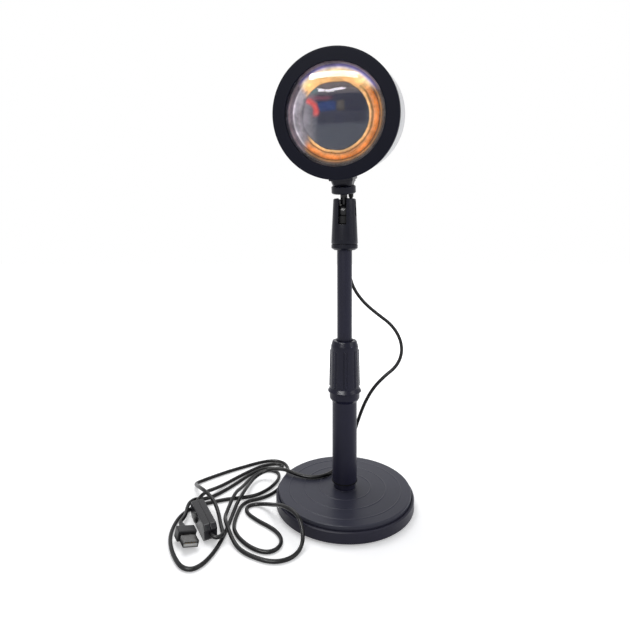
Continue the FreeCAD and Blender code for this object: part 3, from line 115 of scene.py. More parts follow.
def hanging_lead(name, points, radius):
    """Mesh tube, and its centre line: each ring is centre + radius * (cos a * n + sin a * b).

    The centres are the route's own points. n is the tangent crossed with Y, to which no hanging
    stretch runs parallel, and b is the tangent crossed with n.
    """
    sides = 14
    line = bpy.data.objects.new(name + "_line", route(name + "_line", points))
    scene.collection.objects.link(line)
    read = bpy.data.meshes.new_from_object(line)
    centres = np.empty(3 * len(read.vertices))
    read.vertices.foreach_get("co", centres)
    centres = centres.reshape(-1, 3)
    bpy.data.meshes.remove(read)
    bpy.data.objects.remove(line)
    tangent = np.gradient(centres, axis=0)
    tangent /= np.linalg.norm(tangent, axis=1, keepdims=True)
    normal = np.cross(tangent, (0.0, 1.0, 0.0))
    normal /= np.linalg.norm(normal, axis=1, keepdims=True)
    side = np.cross(tangent, normal)
    angle = np.linspace(0, 2 * np.pi, sides, endpoint=False)[None, :, None]
    ring = np.cos(angle) * normal[:, None] + np.sin(angle) * side[:, None]
    points = (centres[:, None] + radius * ring).reshape(-1, 3)
    first = np.arange(len(centres) - 1)[:, None] * sides
    here, after = np.arange(sides), (np.arange(sides) + 1) % sides
    quads = np.stack([first + here, first + after, first + sides + after, first + sides + here],
                     axis=-1)
    faces = quads.reshape(-1, 4).tolist()
    faces += [list(range(sides))[::-1], list(range(len(points) - sides, len(points)))]
    return mesh_object(name, points, faces), [Vector(centre) for centre in centres]


lead_radius = 0.0016
lead_upper, upper_line = hanging_lead("lead_upper", [
    (0.00678, 0.01317, 0.2766), (0.00744, 0.01552, 0.26434), (0.0082, 0.0186, 0.243),
    (0.0074, 0.0189, 0.234)], lead_radius)
lead_middle, middle_line = hanging_lead("lead_middle", [
    (0.0074, 0.0189, 0.234), (0.0066, 0.0192, 0.225), (0.0046, 0.0176, 0.208),
    (0.0068, 0.0169, 0.19975)], lead_radius)
lead_drop, drop_line = hanging_lead("lead_drop", [
    (0.0068, 0.0169, 0.19975), (0.009, 0.0162, 0.1915), (0.019, 0.0165, 0.178),
    (0.032, 0.0175, 0.167), (0.0455, 0.0185, 0.157), (0.054, 0.019, 0.1435),
    (0.0555, 0.019, 0.1295), (0.05, 0.0195, 0.117), (0.0385, 0.0205, 0.1075),
    (0.0285, 0.0215, 0.0965), (0.021, 0.023, 0.083), (0.0155, 0.0255, 0.0675),
    (0.01325, 0.027, 0.0595)], lead_radius)
lead_floor = lying_lead("lead_floor", [
    (0.01325, 0.027, 0.0595), (0.011, 0.0285, 0.0515), (0.006, 0.031, 0.0365),
    (-0.0005, 0.03, 0.0235), (-0.0085, 0.0225, 0.0174), (-0.0195, 0.013, 0.0169),
    (-0.0325, 0.0115, 0.0168), (-0.044, 0.0165, 0.0172), (-0.0545, 0.0235, 0.018),
    (-0.0625, 0.034, 0.0135), (-0.071, 0.041, 0.0095), (-0.079, 0.0415, 0.0064),
    (-0.0855, 0.036, 0.0044), (-0.0888, 0.024, 0.0046), (-0.0905, 0.0105, 0.0069),
    (-0.093, -0.0015, 0.0069), (-0.096, -0.0085, 0.0034), (-0.0972, -0.0175, 0.0017),
    (-0.098, -0.0295, 0.0017), (-0.0986, -0.0405, 0.0017), (-0.0998, -0.0515, 0.0017),
    (-0.1015, -0.063, 0.0017), (-0.1045, -0.074, 0.0017), (-0.109, -0.084, 0.0017),
    (-0.1155, -0.0895, 0.0017), (-0.1235, -0.087, 0.0017), (-0.1305, -0.078, 0.0017),
    (-0.137, -0.0665, 0.0017), (-0.142, -0.053, 0.0017), (-0.1435, -0.0385, 0.0017),
    (-0.142, -0.0245, 0.0017), (-0.1365, -0.0135, 0.0017), (-0.1275, -0.0065, 0.0017),
    (-0.1165, -0.0015, 0.0017), (-0.1055, 0.0025, 0.0017), (-0.093, 0.0045, 0.0017),
    (-0.0815, 0.008, 0.0017), (-0.072, 0.017, 0.0017), (-0.0655, 0.028, 0.0017),
    (-0.062, 0.039, 0.0017), (-0.063, 0.0495, 0.0017), (-0.0695, 0.055, 0.0017),
    (-0.078, 0.0545, 0.0017), (-0.0855, 0.0473, 0.0017), (-0.0915, 0.035, 0.0017),
    (-0.0958, 0.017, 0.004), (-0.0986, 0.0055, 0.0069), (-0.1005, -0.008, 0.0069),
    (-0.1024, -0.019, 0.0036), (-0.1028, -0.0285, 0.0036), (-0.1004, -0.039, 0.0069),
    (-0.096, -0.05, 0.0069), (-0.0915, -0.0575, 0.0034), (-0.0865, -0.0645, 0.0017),
    (-0.0795, -0.0715, 0.0017), (-0.07, -0.077, 0.0017), (-0.061, -0.0805, 0.0017),
    (-0.052, -0.0805, 0.0017), (-0.044, -0.0765, 0.0017), (-0.0385, -0.0695, 0.0022),
    (-0.036, -0.0625, 0.005), (-0.0365, -0.057, 0.0105), (-0.0385, -0.0525, 0.016),
    (-0.043, -0.0465, 0.0182), (-0.05, -0.0395, 0.0182), (-0.056, -0.031, 0.0154),
    (-0.062, -0.0215, 0.01), (-0.069, -0.0115, 0.005), (-0.076, -0.0065, 0.0022),
    (-0.082, -0.0065, 0.0017), (-0.0862, -0.0098, 0.0017), (-0.0868, -0.0153, 0.0017),
    (-0.084, -0.0208, 0.0017), (-0.0795, -0.0258, 0.0017), (-0.0735, -0.0315, 0.0017),
    (-0.065, -0.038, 0.0017), (-0.0575, -0.0455, 0.0017), (-0.053, -0.0545, 0.0017),
    (-0.0535, -0.063, 0.0017), (-0.058, -0.069, 0.0017), (-0.065, -0.0705, 0.0017),
    (-0.074, -0.0665, 0.0017), (-0.082, -0.0595, 0.0017), (-0.089, -0.0505, 0.0017),
    (-0.0935, -0.0405, 0.0017), (-0.094, -0.0295, 0.0017), (-0.0932, -0.0185, 0.0017),
    (-0.0918, -0.008, 0.0017), (-0.0865, -0.0005, 0.0017), (-0.078, 0.0023, 0.0017),
    (-0.0685, 0.0085, 0.0017), (-0.0605, 0.0195, 0.0017), (-0.0565, 0.0325, 0.0017),
    (-0.054, 0.046, 0.0017), (-0.054, 0.0585, 0.0017), (-0.058, 0.0695, 0.0017),
    (-0.0665, 0.0755, 0.0017), (-0.077, 0.075, 0.0017), (-0.0885, 0.0695, 0.0017),
    (-0.101, 0.0615, 0.0017), (-0.114, 0.053, 0.0017), (-0.126, 0.0435, 0.0017),
    (-0.136, 0.035, 0.0017), (-0.1415, 0.0275, 0.0026), (-0.1375, 0.0175, 0.0058),
    (-0.1325, 0.0065, 0.0104), (-0.126, -0.004, 0.0132), (-0.1205, -0.0095, 0.0124),
    (-0.1148, -0.0155, 0.0102), (-0.1106, -0.0225, 0.0076), (-0.1074, -0.03, 0.0058),
    (-0.1049, -0.0378, 0.0052), (-0.1026, -0.045, 0.0054), (-0.1004, -0.0516, 0.006),
    (-0.0993, -0.0558, 0.0062), (-0.1008, -0.0588, 0.0063), (-0.1039, -0.06, 0.0064),
    (-0.10709, -0.05867, 0.00665), (-0.1086, -0.05585, 0.00665)], lead_radius)
lead_plug = lying_lead("lead_plug", [
    (-0.1298, -0.01615, 0.00665), (-0.13131, -0.01333, 0.00665), (-0.1296, -0.0078, 0.008),
    (-0.1274, -0.0018, 0.0084), (-0.125, 0.006, 0.007), (-0.1215, 0.014, 0.0044),
    (-0.1145, 0.0265, 0.0017), (-0.104, 0.04, 0.0017), (-0.0935, 0.0525, 0.0017),
    (-0.0825, 0.0633, 0.0017), (-0.075, 0.0668, 0.0017), (-0.068, 0.0686, 0.0017),
    (-0.063, 0.0676, 0.0017), (-0.0602, 0.0649, 0.0017), (-0.0606, 0.0611, 0.0017),
    (-0.0636, 0.0589, 0.0017), (-0.0705, 0.0592, 0.0017), (-0.0782, 0.0585, 0.0017),
    (-0.086, 0.0537, 0.0017), (-0.094, 0.043, 0.0017), (-0.1025, 0.0295, 0.0017),
    (-0.1115, 0.0165, 0.0017), (-0.12, 0.0065, 0.0017), (-0.1285, 0.0005, 0.0024),
    (-0.1338, -0.0055, 0.0062), (-0.137, -0.0125, 0.0068), (-0.1373, -0.0195, 0.0056),
    (-0.1363, -0.026, 0.0048), (-0.1366, -0.033, 0.0052), (-0.1378, -0.03906, 0.00584),
    (-0.1356, -0.04287, 0.00584)], lead_radius)


def step(tree, kind, *sources, **settings):
    """Node of a shader tree, with its settings by name.

    Its first inputs are linked to the sources that are sockets and set to those that are numbers.
    """
    node = tree.nodes.new("ShaderNode" + kind)
    for label, value in settings.items():
        setattr(node, label, value)
    for socket, source in zip(node.inputs, sources):
        if isinstance(source, bpy.types.NodeSocket):
            tree.links.new(source, socket)
        elif source is not None:
            socket.default_value = source
    return node


def worked(tree, operation, *sources):
    """Output of one Math node."""
    return step(tree, "Math", *sources, operation=operation).outputs[0]


def moulded_skin():
    """Shader node group for moulded or sprayed skins.

    A slow noise, less its mean, swings the colour and the roughness; sparse streaks of a stretched
    noise are light scuffs, paler and rougher; a fast noise is the grain's height.
    """
    streak_turn, streak_stretch, streak_scale = (0.3, 0.5, 0.4), (1.0, 0.12, 0.35), 420.0
    scuff_starts, scuff_full = 0.62, 0.72
    colour_swing, scuff_paleness, scuff_roughness = 4.0, 2.0, 0.5
    group = bpy.data.node_groups.new("moulded_skin", "ShaderNodeTree")
    for label, kind, plain in (("Colour", "NodeSocketColor", (0.02, 0.02, 0.02, 1)),
                               ("Roughness", "NodeSocketFloat", 0.45),
                               ("Unevenness", "NodeSocketFloat", 0.2),
                               ("Scuffs", "NodeSocketFloat", 0.1),
                               ("Grain", "NodeSocketFloat", 1500.0),
                               ("Cloud", "NodeSocketFloat", 60.0)):
        socket = group.interface.new_socket(name=label, in_out="INPUT", socket_type=kind)
        socket.default_value = plain
    for label, kind in (("Colour", "NodeSocketColor"), ("Roughness", "NodeSocketFloat"),
                        ("Height", "NodeSocketFloat")):
        group.interface.new_socket(name=label, in_out="OUTPUT", socket_type=kind)
    given = group.nodes.new("NodeGroupInput").outputs
    put = group.nodes.new("NodeGroupOutput").inputs
    place = step(group, "TexCoord").outputs["Object"]
    cloud = step(group, "TexNoise", place, None, given["Cloud"], 5.0, 0.6)
    grain = step(group, "TexNoise", place, None, given["Grain"], 2.0)
    stretched = step(group, "Mapping", place, None, streak_turn, streak_stretch)
    streaks = step(group, "TexNoise", stretched.outputs[0], None, streak_scale, 3.0, 0.55)
    scuff = step(group, "MapRange", streaks.outputs["Fac"], scuff_starts, scuff_full, 0.0, 1.0,
                 clamp=True)
    scuffed = worked(group, "MULTIPLY", scuff.outputs[0], given["Scuffs"])
    swing = worked(group, "SUBTRACT", cloud.outputs["Fac"], 0.5)
    amount = worked(group, "MULTIPLY", swing, given["Unevenness"])
    bright = worked(group, "MULTIPLY_ADD", amount, colour_swing, 1.0)
    paler = worked(group, "MULTIPLY_ADD", scuffed, scuff_paleness, bright)
    rough = worked(group, "ADD", given["Roughness"], amount)
    rougher = worked(group, "MULTIPLY_ADD", scuffed, scuff_roughness, rough)
    colour = step(group, "VectorMath", given["Colour"], operation="SCALE")
    group.links.new(paler, colour.inputs["Scale"])
    group.links.new(colour.outputs[0], put["Colour"])
    group.links.new(rougher, put["Roughness"])
    group.links.new(grain.outputs["Fac"], put["Height"])
    return group


skin = moulded_skin()


def skinned(name, colour, roughness, unevenness=0.15, scuffs=0.08, grain=1500.0, cloud=60.0,
            depth=0.00002, specular=0.5, metallic=0.0):
    """Material of one Principled shader fed by moulded_skin; depth is the grain's in metres."""
    material = bpy.data.materials.new(name)
    material.use_nodes = True
    tree = material.node_tree
    shader = tree.nodes["Principled BSDF"]
    texture = tree.nodes.new("ShaderNodeGroup")
    texture.node_tree = skin
    for label, value in (("Colour", (*colour, 1)), ("Roughness", roughness),
                         ("Unevenness", unevenness), ("Scuffs", scuffs), ("Grain", grain),
                         ("Cloud", cloud)):
        texture.inputs[label].default_value = value
    bump = tree.nodes.new("ShaderNodeBump")
    bump.inputs["Distance"].default_value = depth
    tree.links.new(texture.outputs["Colour"], shader.inputs["Base Color"])
    tree.links.new(texture.outputs["Roughness"], shader.inputs["Roughness"])
    tree.links.new(texture.outputs["Height"], bump.inputs["Height"])
    tree.links.new(bump.outputs["Normal"], shader.inputs["Normal"])
    shader.inputs["Specular IOR Level"].default_value = specular
    shader.inputs["Metallic"].default_value = metallic
    return material


def wear(material, *pieces):
    """Put the material on new pieces, or in every slot of carried-over nodes."""
    for piece in pieces:
        if piece.material_slots:
            for place in piece.material_slots:
                place.material = material
        else:
            piece.data.materials.append(material)


jacket = skinned("lead jacket", (0.005, 0.005, 0.006), 0.30, unevenness=0.12, grain=2500,
                 cloud=90, depth=0.000008, specular=0.26)
leads = (lead_upper, lead_middle, lead_drop, lead_floor, lead_plug)
wear(jacket, *leads)
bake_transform(lead_upper, "socket", "head", start=upper_line[-1], end=upper_line[0])
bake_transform(lead_middle, "upper_column", "socket", start=middle_line[-1], end=middle_line[0])
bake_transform(lead_drop, "stand", "upper_column", start=drop_line[-1], end=drop_line[0])
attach(lead_floor, "stand")
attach(lead_plug, "stand")
for lead in (lead_upper, lead_middle, lead_drop):
    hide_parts("cord_drop")
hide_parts("cord_drop", "cord_base_run", "cord_left_loop", "cord_return",
            "cord_front_loop", "cord_inner_loop", "cord_back_run")
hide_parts("cord_plug_run")


# ---- Floor and light ------------------------------------------------------------------------
# A seamless white sweep in a pale, even room, lit from above and from the right by two large
# boxes. A wide strip and two slim boxes at the left light gloss alone: the dome's bright arcs.
def background_rays(tree):
    """1 for rays that see the background: from the camera, off gloss and through glass."""
    ray = step(tree, "LightPath").outputs
    either = worked(tree, "MAXIMUM", ray["Is Camera Ray"], ray["Is Glossy Ray"])
    return worked(tree, "MAXIMUM", either, ray["Is Transmission Ray"])


def white_room(grey):
    """World that is white to the camera, gloss and glass, and lights surfaces as a grey room."""
    world = bpy.data.worlds.new("white room")
    world.use_nodes = True
    tree = world.node_tree
    tree.nodes.clear()
    light = step(tree, "Background", (*grey, 1))
    seen = step(tree, "Background", (1, 1, 1, 1))
    mix = step(tree, "MixShader", background_rays(tree), light.outputs[0], seen.outputs[0])
    step(tree, "OutputWorld", mix.outputs[0])
    return world


def sweep_paper(near, far, near_share):
    """White paper with plain white added for background rays.

    The share of plain white is near_share up to the near distance and rises to 1 at the far one.
    """
    material = bpy.data.materials.new("sweep paper")
    material.use_nodes = True
    tree = material.node_tree
    tree.nodes.clear()
    paper = step(tree, "BsdfDiffuse", (0.94, 0.94, 0.94, 1))
    place = step(tree, "TexCoord").outputs["Object"]
    away = step(tree, "VectorMath", place, operation="LENGTH").outputs["Value"]
    rise = step(tree, "MapRange", away, near, far, near_share, 1.0).outputs[0]
    share = worked(tree, "MULTIPLY", background_rays(tree), rise)
    white = step(tree, "Emission", (1, 1, 1, 1), share)
    both = step(tree, "AddShader", paper.outputs[0], white.outputs[0])
    step(tree, "OutputMaterial", both.outputs[0])
    return material


def soft_box(name, azimuth, elevation, away, width, height, power, roll=0.0, gloss_only=False):
    """Rectangular area lamp facing the lens, at lens + away (cos e sin a, -cos e cos a, sin e).

    A lamp for gloss only is seen in polished surfaces and adds no light to matt ones.
    """
    lens_spot = Vector((-0.013, -0.045, 0.345))
    data = bpy.data.lights.new(name, "AREA")
    data.shape = "RECTANGLE"
    data.size, data.size_y, data.energy = width, height, power
    a, e = math.radians(azimuth), math.radians(elevation)
    reach = Vector((math.cos(e) * math.sin(a), -math.cos(e) * math.cos(a), math.sin(e)))
    facing = (-reach).to_track_quat("-Z", "Y").to_matrix()
    facing = facing @ Matrix.Rotation(math.radians(roll), 3, "Z")
    box = bpy.data.objects.new(name, data)
    box.matrix_world = Matrix.Translation(lens_spot + away * reach) @ facing.to_4x4()
    box.visible_diffuse = box.visible_transmission = not gloss_only
    scene.collection.objects.link(box)


scene.world = white_room((0.39, 0.395, 0.41))
floor = mesh_object("floor", [(-3, -3, 0), (3, -3, 0), (3, 3, 0), (-3, 3, 0)], [(0, 1, 2, 3)],
                    smooth=False)
wear(sweep_paper(near=0.2, far=0.8, near_share=0.36), floor)
soft_box("strip box", azimuth=-29, elevation=30, away=1.1, width=0.94, height=0.12, power=15.0,
         gloss_only=True)
soft_box("slim box left", azimuth=-36, elevation=14.6, away=1.1, width=0.28, height=0.045,
         power=1.8, roll=-8, gloss_only=True)
soft_box("slim box right", azimuth=-21.5, elevation=15.3, away=1.1, width=0.28, height=0.045,
         power=1.8, roll=5, gloss_only=True)
soft_box("top box", azimuth=-150, elevation=62, away=1.2, width=0.9, height=0.9, power=10.5)
soft_box("fill box", azimuth=65, elevation=14, away=1.0, width=0.5, height=0.5, power=2.4)


# ---- Base -----------------------------------------------------------------------------------
# A cast foot with a stepped lip, under a pressed steel plate with shallow rings spun into its
# top. Both are sprayed satin black; the foot's paint is made darker, painted shade for its side,
# and the plate is held down by the column's bolt.
def rounded(corners, steps=4):
    """Closed profile with eased corners, from rows of radius, height and ease in millimetres.

    Each corner C becomes the curve (1-t)^2 A + 2t(1-t) C + t^2 B, where A and B lie its ease away
    along its two sides, with one more point beyond each end that keeps the flats flat: steps + 3
    points, less those that meet. Metres out.
    """
    beyond, meeting = 0.3, 1e-7
    rows = np.array(corners) * 0.001
    spots, ease = rows[:, :2], rows[:, 2:]
    back, ahead = np.roll(spots, 1, axis=0) - spots, np.roll(spots, -1, axis=0) - spots
    back /= np.linalg.norm(back, axis=1, keepdims=True)
    ahead /= np.linalg.norm(ahead, axis=1, keepdims=True)
    t = np.linspace(0, 1, steps + 1)[None, :, None]
    start, end = (spots + ease * back)[:, None], (spots + ease * ahead)[:, None]
    corner = spots[:, None]
    curve = (1 - t) ** 2 * start + 2 * t * (1 - t) * corner + t ** 2 * end
    lead_in = start + beyond * ease[:, None] * back[:, None]
    lead_out = end + beyond * ease[:, None] * ahead[:, None]
    line = np.concatenate([lead_in, curve, lead_out], axis=1).reshape(-1, 2)
    return line[np.linalg.norm(line - np.roll(line, 1, axis=0), axis=1) > meeting]


def round_turn(sides):
    """Angles of an even ring, once round."""
    return np.linspace(0, 2 * np.pi, sides, endpoint=False)


def spun(name, profile, angle, place=None, relief=0.0):
    """Surface of revolution of points ((r + relief) cos a, (r + relief) sin a, z), then placed.

    The profile is walked with the solid on its left. Where it starts and ends on the axis those
    two points become poles, and otherwise it is closed. relief is given by row and by angle.
    """
    on_axis = 1e-9
    reach = profile[:, :1] + relief + 0 * angle
    grid = np.stack([reach * np.cos(angle), reach * np.sin(angle),
                     np.broadcast_to(profile[:, 1:], reach.shape)], axis=-1)
    poled = profile[0, 0] < on_axis
    rows = grid[1:-1] if poled else grid
    index = np.arange(rows.shape[0] * len(angle)).reshape(rows.shape[:2])
    beside = np.roll(index, -1, axis=1)
    points = rows.reshape(-1, 3)
    if poled:
        quads = np.stack([index[:-1], beside[:-1], beside[1:], index[1:]], axis=-1).reshape(-1, 4)
        under, over = np.full(len(angle), len(points)), np.full(len(angle), len(points) + 1)
        points = np.vstack([points, grid[0, 0], grid[-1, 0]])
        fans = np.vstack([np.c_[under, beside[0], index[0]], np.c_[index[-1], beside[-1], over]])
        faces = quads.tolist() + fans.tolist()
    else:
        above = np.roll(index, -1, axis=0)
        quads = np.stack([index, beside, np.roll(above, -1, axis=1), above], axis=-1)
        faces = quads.reshape(-1, 4).tolist()
    if place is not None:
        points = points @ np.array(place.to_3x3()).T + np.array(place.translation)
    return mesh_object(name, points, faces)


def stands_for(piece, node):
    """The piece takes the node's place and its body."""
    bodies = frame["record"]["behaviour"]["bodies"]
    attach(piece, next(body for body, members in bodies.items() if node in members))
    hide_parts(node)
    return piece


def eased(name, node, width, segments=3):
    """Copy of a node: its triangles merged, its flats rejoined, its sharp edges rounded."""
    same_spot, flat, sharp = 2e-6, math.radians(0.5), math.radians(32)
    mesh = bpy.data.meshes.new(name)
    shell = bmesh.new()
    shell.from_mesh(nodes[node].data)
    bmesh.ops.remove_doubles(shell, verts=shell.verts, dist=same_spot)
    bmesh.ops.dissolve_limit(shell, angle_limit=flat, verts=shell.verts, edges=shell.edges)
    shell.to_mesh(mesh)
    shell.free()
    for attribute in [a for a in mesh.attributes if a.name == "custom_normal"]:
        mesh.attributes.remove(attribute)
    mesh.polygons.foreach_set("use_smooth", np.full(len(mesh.polygons), True))
    piece = bpy.data.objects.new(name, mesh)
    scene.collection.objects.link(piece)
    bevel = piece.modifiers.new("eased edges", "BEVEL")
    bevel.width, bevel.segments = width, segments
    bevel.limit_method, bevel.angle_limit = "ANGLE", sharp
    bevel.use_clamp_overlap = False
    bevel.harden_normals = True
    return stands_for(piece, node)


nodes = frame["nodes"]
# The plate's radii and heights are in millimetres.
plate_bore, plate_edge, boss_edge = 4.3, 59.1, 9.5
plate_foot, plate_rim, plate_crown = 9.8, 14.4, 15.3
plate_line = rounded([(plate_bore, plate_foot, 0.2), (plate_edge, plate_foot, 0.3),
                      (plate_edge, plate_rim, 0.9), (boss_edge, plate_crown, 0.0),
                      (plate_bore, plate_crown, 0.2)])
corner_rows, corners_to_rim = 7, 3
ring_radii, ring_half, ring_height = np.array([10.6, 23.2, 36.6, 49.9]), 0.8, 0.26
top_inner, top_outer = 11.8, plate_edge - 1.4   # where the even rows between the rings run
radii = np.concatenate([np.linspace(top_inner, top_outer, 48),
                        (ring_radii[:, None] + ring_half * np.linspace(-1, 1, 9)).ravel()])
radii = np.unique(radii.round(4))[::-1]
off_ring = np.clip(np.abs(radii[:, None] - ring_radii) / ring_half, 0, 1)
swell = 0.5 + 0.5 * np.cos(np.pi * off_ring)
level = plate_rim + (plate_crown - plate_rim) * (plate_edge - radii) / (plate_edge - boss_edge)
crown = np.c_[radii, level + ring_height * swell.sum(axis=1)] * 0.001
plate_line = np.insert(plate_line, corners_to_rim * corner_rows, crown, axis=0)
cover_plate = stands_for(spun("cover_plate", plate_line, round_turn(sides=192)), "base_plate")
base_paint = skinned("base paint", (0.031, 0.032, 0.050), 0.36, unevenness=0.08, scuffs=0.03,
                     grain=1800, cloud=45, depth=0.000006, specular=0.22)
wear(base_paint, cover_plate)
cast_foot = eased("cast_foot", "base_body", 0.0003)
# The foot wears the plate's satin black made darker: painted shade for its side, which takes less light.
shaded_foot_paint = skinned("foot paint with painted shade", (0.0165, 0.0158, 0.030), 0.40, unevenness=0.08, scuffs=0.04,
                     grain=1800, cloud=45, depth=0.000006, specular=0.18)
wear(shaded_foot_paint, cast_foot)
foot_rubber = skinned("foot rubber", (0.014, 0.014, 0.014), 0.75, grain=1200, depth=0.00006,
                      specular=0.3)
wear(foot_rubber, nodes["rubber_feet"])
plated = skinned("zinc plate", (0.62, 0.61, 0.58), 0.32, unevenness=0.3, grain=3000, cloud=120,
                 metallic=1.0)
wear(plated, nodes["base_bolt"], nodes["base_washer"])


# ---- Column ---------------------------------------------------------------------------------
# Two drawn steel tubes, powder coated black, the upper one sliding in the lower one, on a
# boss pressed into the plate, with moulded nylon plug, ferrule and guide bush at their ends.
column_paint = skinned("column powder coat", (0.0165, 0.0163, 0.034), 0.38, unevenness=0.10,
                       scuffs=0.04, grain=1800, cloud=50, depth=0.000005, specular=0.17)
wear(column_paint, nodes["column_boss"], nodes["lower_tube"], nodes["upper_tube"])
nylon = skinned("black nylon", (0.005, 0.005, 0.006), 0.5, grain=2000, depth=0.00001,
                specular=0.14)
wear(nylon, nodes["tube_ferrule"], nodes["tube_plug"], nodes["upper_bush"], nodes["bush_cap"])


# ---- Clutch ---------------------------------------------------------------------------------
# The twist lock: a moulded grip with eight ribs over a collar on the lower tube. A quarter
# turn closes its slit collet on the upper tube.
def smooth_rise(t):
    """3 t^2 - 2 t^3, which goes from 0 to 1 and is level at both."""
    return t ** 2 * (3 - 2 * t)


# The grip's sizes are in millimetres; beside a rib, degrees off its middle.
foot_radius, foot_height, top_radius, top_height = 13.3, 104.9, 12.5, 139.5
grip_line = rounded([(11.3, 92.5, 0.1), (11.6, 92.5, 0.1), (13.5, 95.3, 0.5), (13.5, 100.7, 0.2),
                     (15.0, 101.3, 0.2), (15.0, 101.9, 0.2), (foot_radius, foot_height, 0.5),
                     (top_radius, top_height, 0.5), (12.3, 141.8, 0.5), (10.9, 146.7, 0.8),
                     (7.65, 146.7, 0.2), (7.65, 144.1, 0.1), (9.0, 142.6, 0.1), (9.0, 132.8, 0.1),
                     (11.3, 131.8, 0.1), (11.3, 124.8, 0.1), (12.35, 124.8, 0.1),
                     (12.35, 100.2, 0.1), (11.3, 100.2, 0.1)])
corners_to_foot = 7
rib_foot, rib_top, rib_ease, rib_end = 105.7, 138.7, 1.4, 0.8
barrel = np.concatenate([rib_foot + np.linspace(0, rib_ease, 6), np.linspace(110, 135, 6),
                         rib_top - rib_ease + np.linspace(0, rib_ease, 6)])
taper = (foot_radius - top_radius) * (barrel - foot_height) / (top_height - foot_height)
flank = np.c_[foot_radius - taper, barrel] * 0.001
grip_line = np.insert(grip_line, corners_to_foot * corner_rows, flank, axis=0)
rib_count, rib_edge, rib_flank, rib_height = 8, 5.4, 1.9, 0.55
channel_middle, channel_half, channel_depth = 6.5, 1.3, 0.28
beside_rib = np.array([3.4, 4.2, 4.7, 5.2, 5.8, 6.5, 7.2, 8.0])
off_rib = np.concatenate([-beside_rib[::-1], [0], beside_rib, [12, 17, 22, 27, 32]])
rib_pitch = 360 / rib_count
grip_turn = np.radians(np.add.outer(rib_pitch * np.arange(rib_count), off_rib).ravel())
from_rib = np.abs((np.degrees(grip_turn) + rib_pitch / 2) % rib_pitch - rib_pitch / 2)
rib = smooth_rise(np.clip((rib_edge - from_rib) / rib_flank, 0, 1))
channel = np.clip(1 - np.abs(from_rib - channel_middle) / channel_half, 0, 1)
radius, height = 1000 * grip_line.T
along = np.clip(np.minimum(height - rib_foot, rib_top - height) / rib_end, 0, 1)
along = along * (radius > top_radius - 0.05)   # the outer face alone
ribs = 0.001 * np.outer(smooth_rise(along), rib_height * rib - channel_depth * channel)
grip = stands_for(spun("twist_grip", grip_line, grip_turn, relief=ribs), "clutch_grip")
clutch_plastic = skinned("clutch plastic", (0.0120, 0.0120, 0.028), 0.26, scuffs=0.05, grain=2200,
                         depth=0.000003, specular=0.17)
wear(clutch_plastic, grip, nodes["clutch_collar"], nodes["clutch_collet"])


# ---- Ball joint -----------------------------------------------------------------------------
# A moulded socket with a slot down its front, in which the ball of the head's stud nods, held
# up by a seat and a wave washer. The nut under the neck locks the stud.
socket_plastic = skinned("socket plastic", (0.0055, 0.006, 0.014), 0.32, scuffs=0.08, grain=2200,
                         depth=0.000005, specular=0.16)
sleeve = eased("slotted_sleeve", "socket_sleeve", 0.00022)
socket_foot = eased("socket_foot", "socket_base", 0.00022)
ring_nut = eased("ring_nut", "lock_nut", 0.00025)
wear(socket_plastic, sleeve, socket_foot, ring_nut)
wear(nylon, nodes["ball_seat"])
wear(plated, nodes["spring_washer"])
stud_paint = skinned("stud paint", (0.006, 0.006, 0.008), 0.26, grain=2500, depth=0.000006,
                     specular=0.25)
wear(stud_paint, nodes["ball_stud"])


# ---- Head -----------------------------------------------------------------------------------
# A drum of pale sprayed aluminium with two turned grooves, a matt black front ring screwed
# over it, a moulded neck and saddle below and a vented cover behind.
head_turn, head_lean = math.radians(-15.57), math.radians(11.28)
ball_height, optic_back, optic_rise = 0.2624, 0.038, 0.085
optic_axis = (Matrix.Translation((0, 0, ball_height))
              @ Matrix.Rotation(head_turn, 4, "Z") @ Matrix.Rotation(head_lean, 4, "X")
              @ Matrix.Translation((0, optic_back, optic_rise))
              @ Matrix.Rotation(math.radians(90), 4, "X"))
ring_line = rounded([(50.95, 57.5, 0.1), (53.8, 57.5, 0.2), (53.8, 64.0, 1.3), (42.4, 64.0, 0.6),
                     (42.4, 61.8, 0.1), (43.4, 61.8, 0.1), (43.4, 57.5, 0.1), (48.95, 57.5, 0.1),
                     (48.95, 53.5, 0.1), (50.95, 53.5, 0.1)], steps=6)
front_ring = stands_for(spun("front_ring", ring_line, round_turn(sides=160), optic_axis),
                        "bezel_ring")
ring_paint = skinned("ring paint", (0.0070, 0.0078, 0.0165), 0.5, unevenness=0.08, scuffs=0.03,
                     grain=1800, depth=0.00001, specular=0.07)
wear(ring_paint, front_ring)
drum_spray = skinned("drum spray", (0.66, 0.668, 0.685), 0.34, unevenness=0.04, scuffs=0.02,
                     grain=1800, depth=0.00002)
rear_cap = eased("rear_cap", "rear_cover", 0.0003)
wear(drum_spray, nodes["drum_housing"], rear_cap)
neck_plastic = skinned("neck plastic", (0.008, 0.008, 0.014), 0.32, scuffs=0.08, grain=2200,
                       depth=0.000005, specular=0.2)
neck = eased("tapered_neck", "neck_block", 0.0004)
saddle = eased("drum_saddle", "neck_saddle", 0.0004)
wear(neck_plastic, neck, saddle)
wear(plated, nodes["cover_screws"], nodes["neck_screws"])
gland_plastic = skinned("gland plastic", (0.55, 0.55, 0.56), 0.5, grain=2000)
wear(gland_plastic, nodes["cord_gland"])
boot_rubber = skinned("boot rubber", (0.006, 0.006, 0.007), 0.5, grain=2400, depth=0.000006,
                      specular=0.2)
wear(boot_rubber, nodes["cord_boot"])
bare_aluminium = skinned("bare aluminium", (0.7, 0.71, 0.72), 0.4, grain=1500, metallic=1.0)
wear(bare_aluminium, nodes["heat_sink"], nodes["reflector_cup"])
board_lacquer = skinned("board lacquer", (0.03, 0.12, 0.06), 0.35, grain=800)
wear(board_lacquer, nodes["led_board"], nodes["driver_board"])
wear(skinned("LED", (0.75, 0.66, 0.2), 0.4, grain=800), nodes["led_chip"])
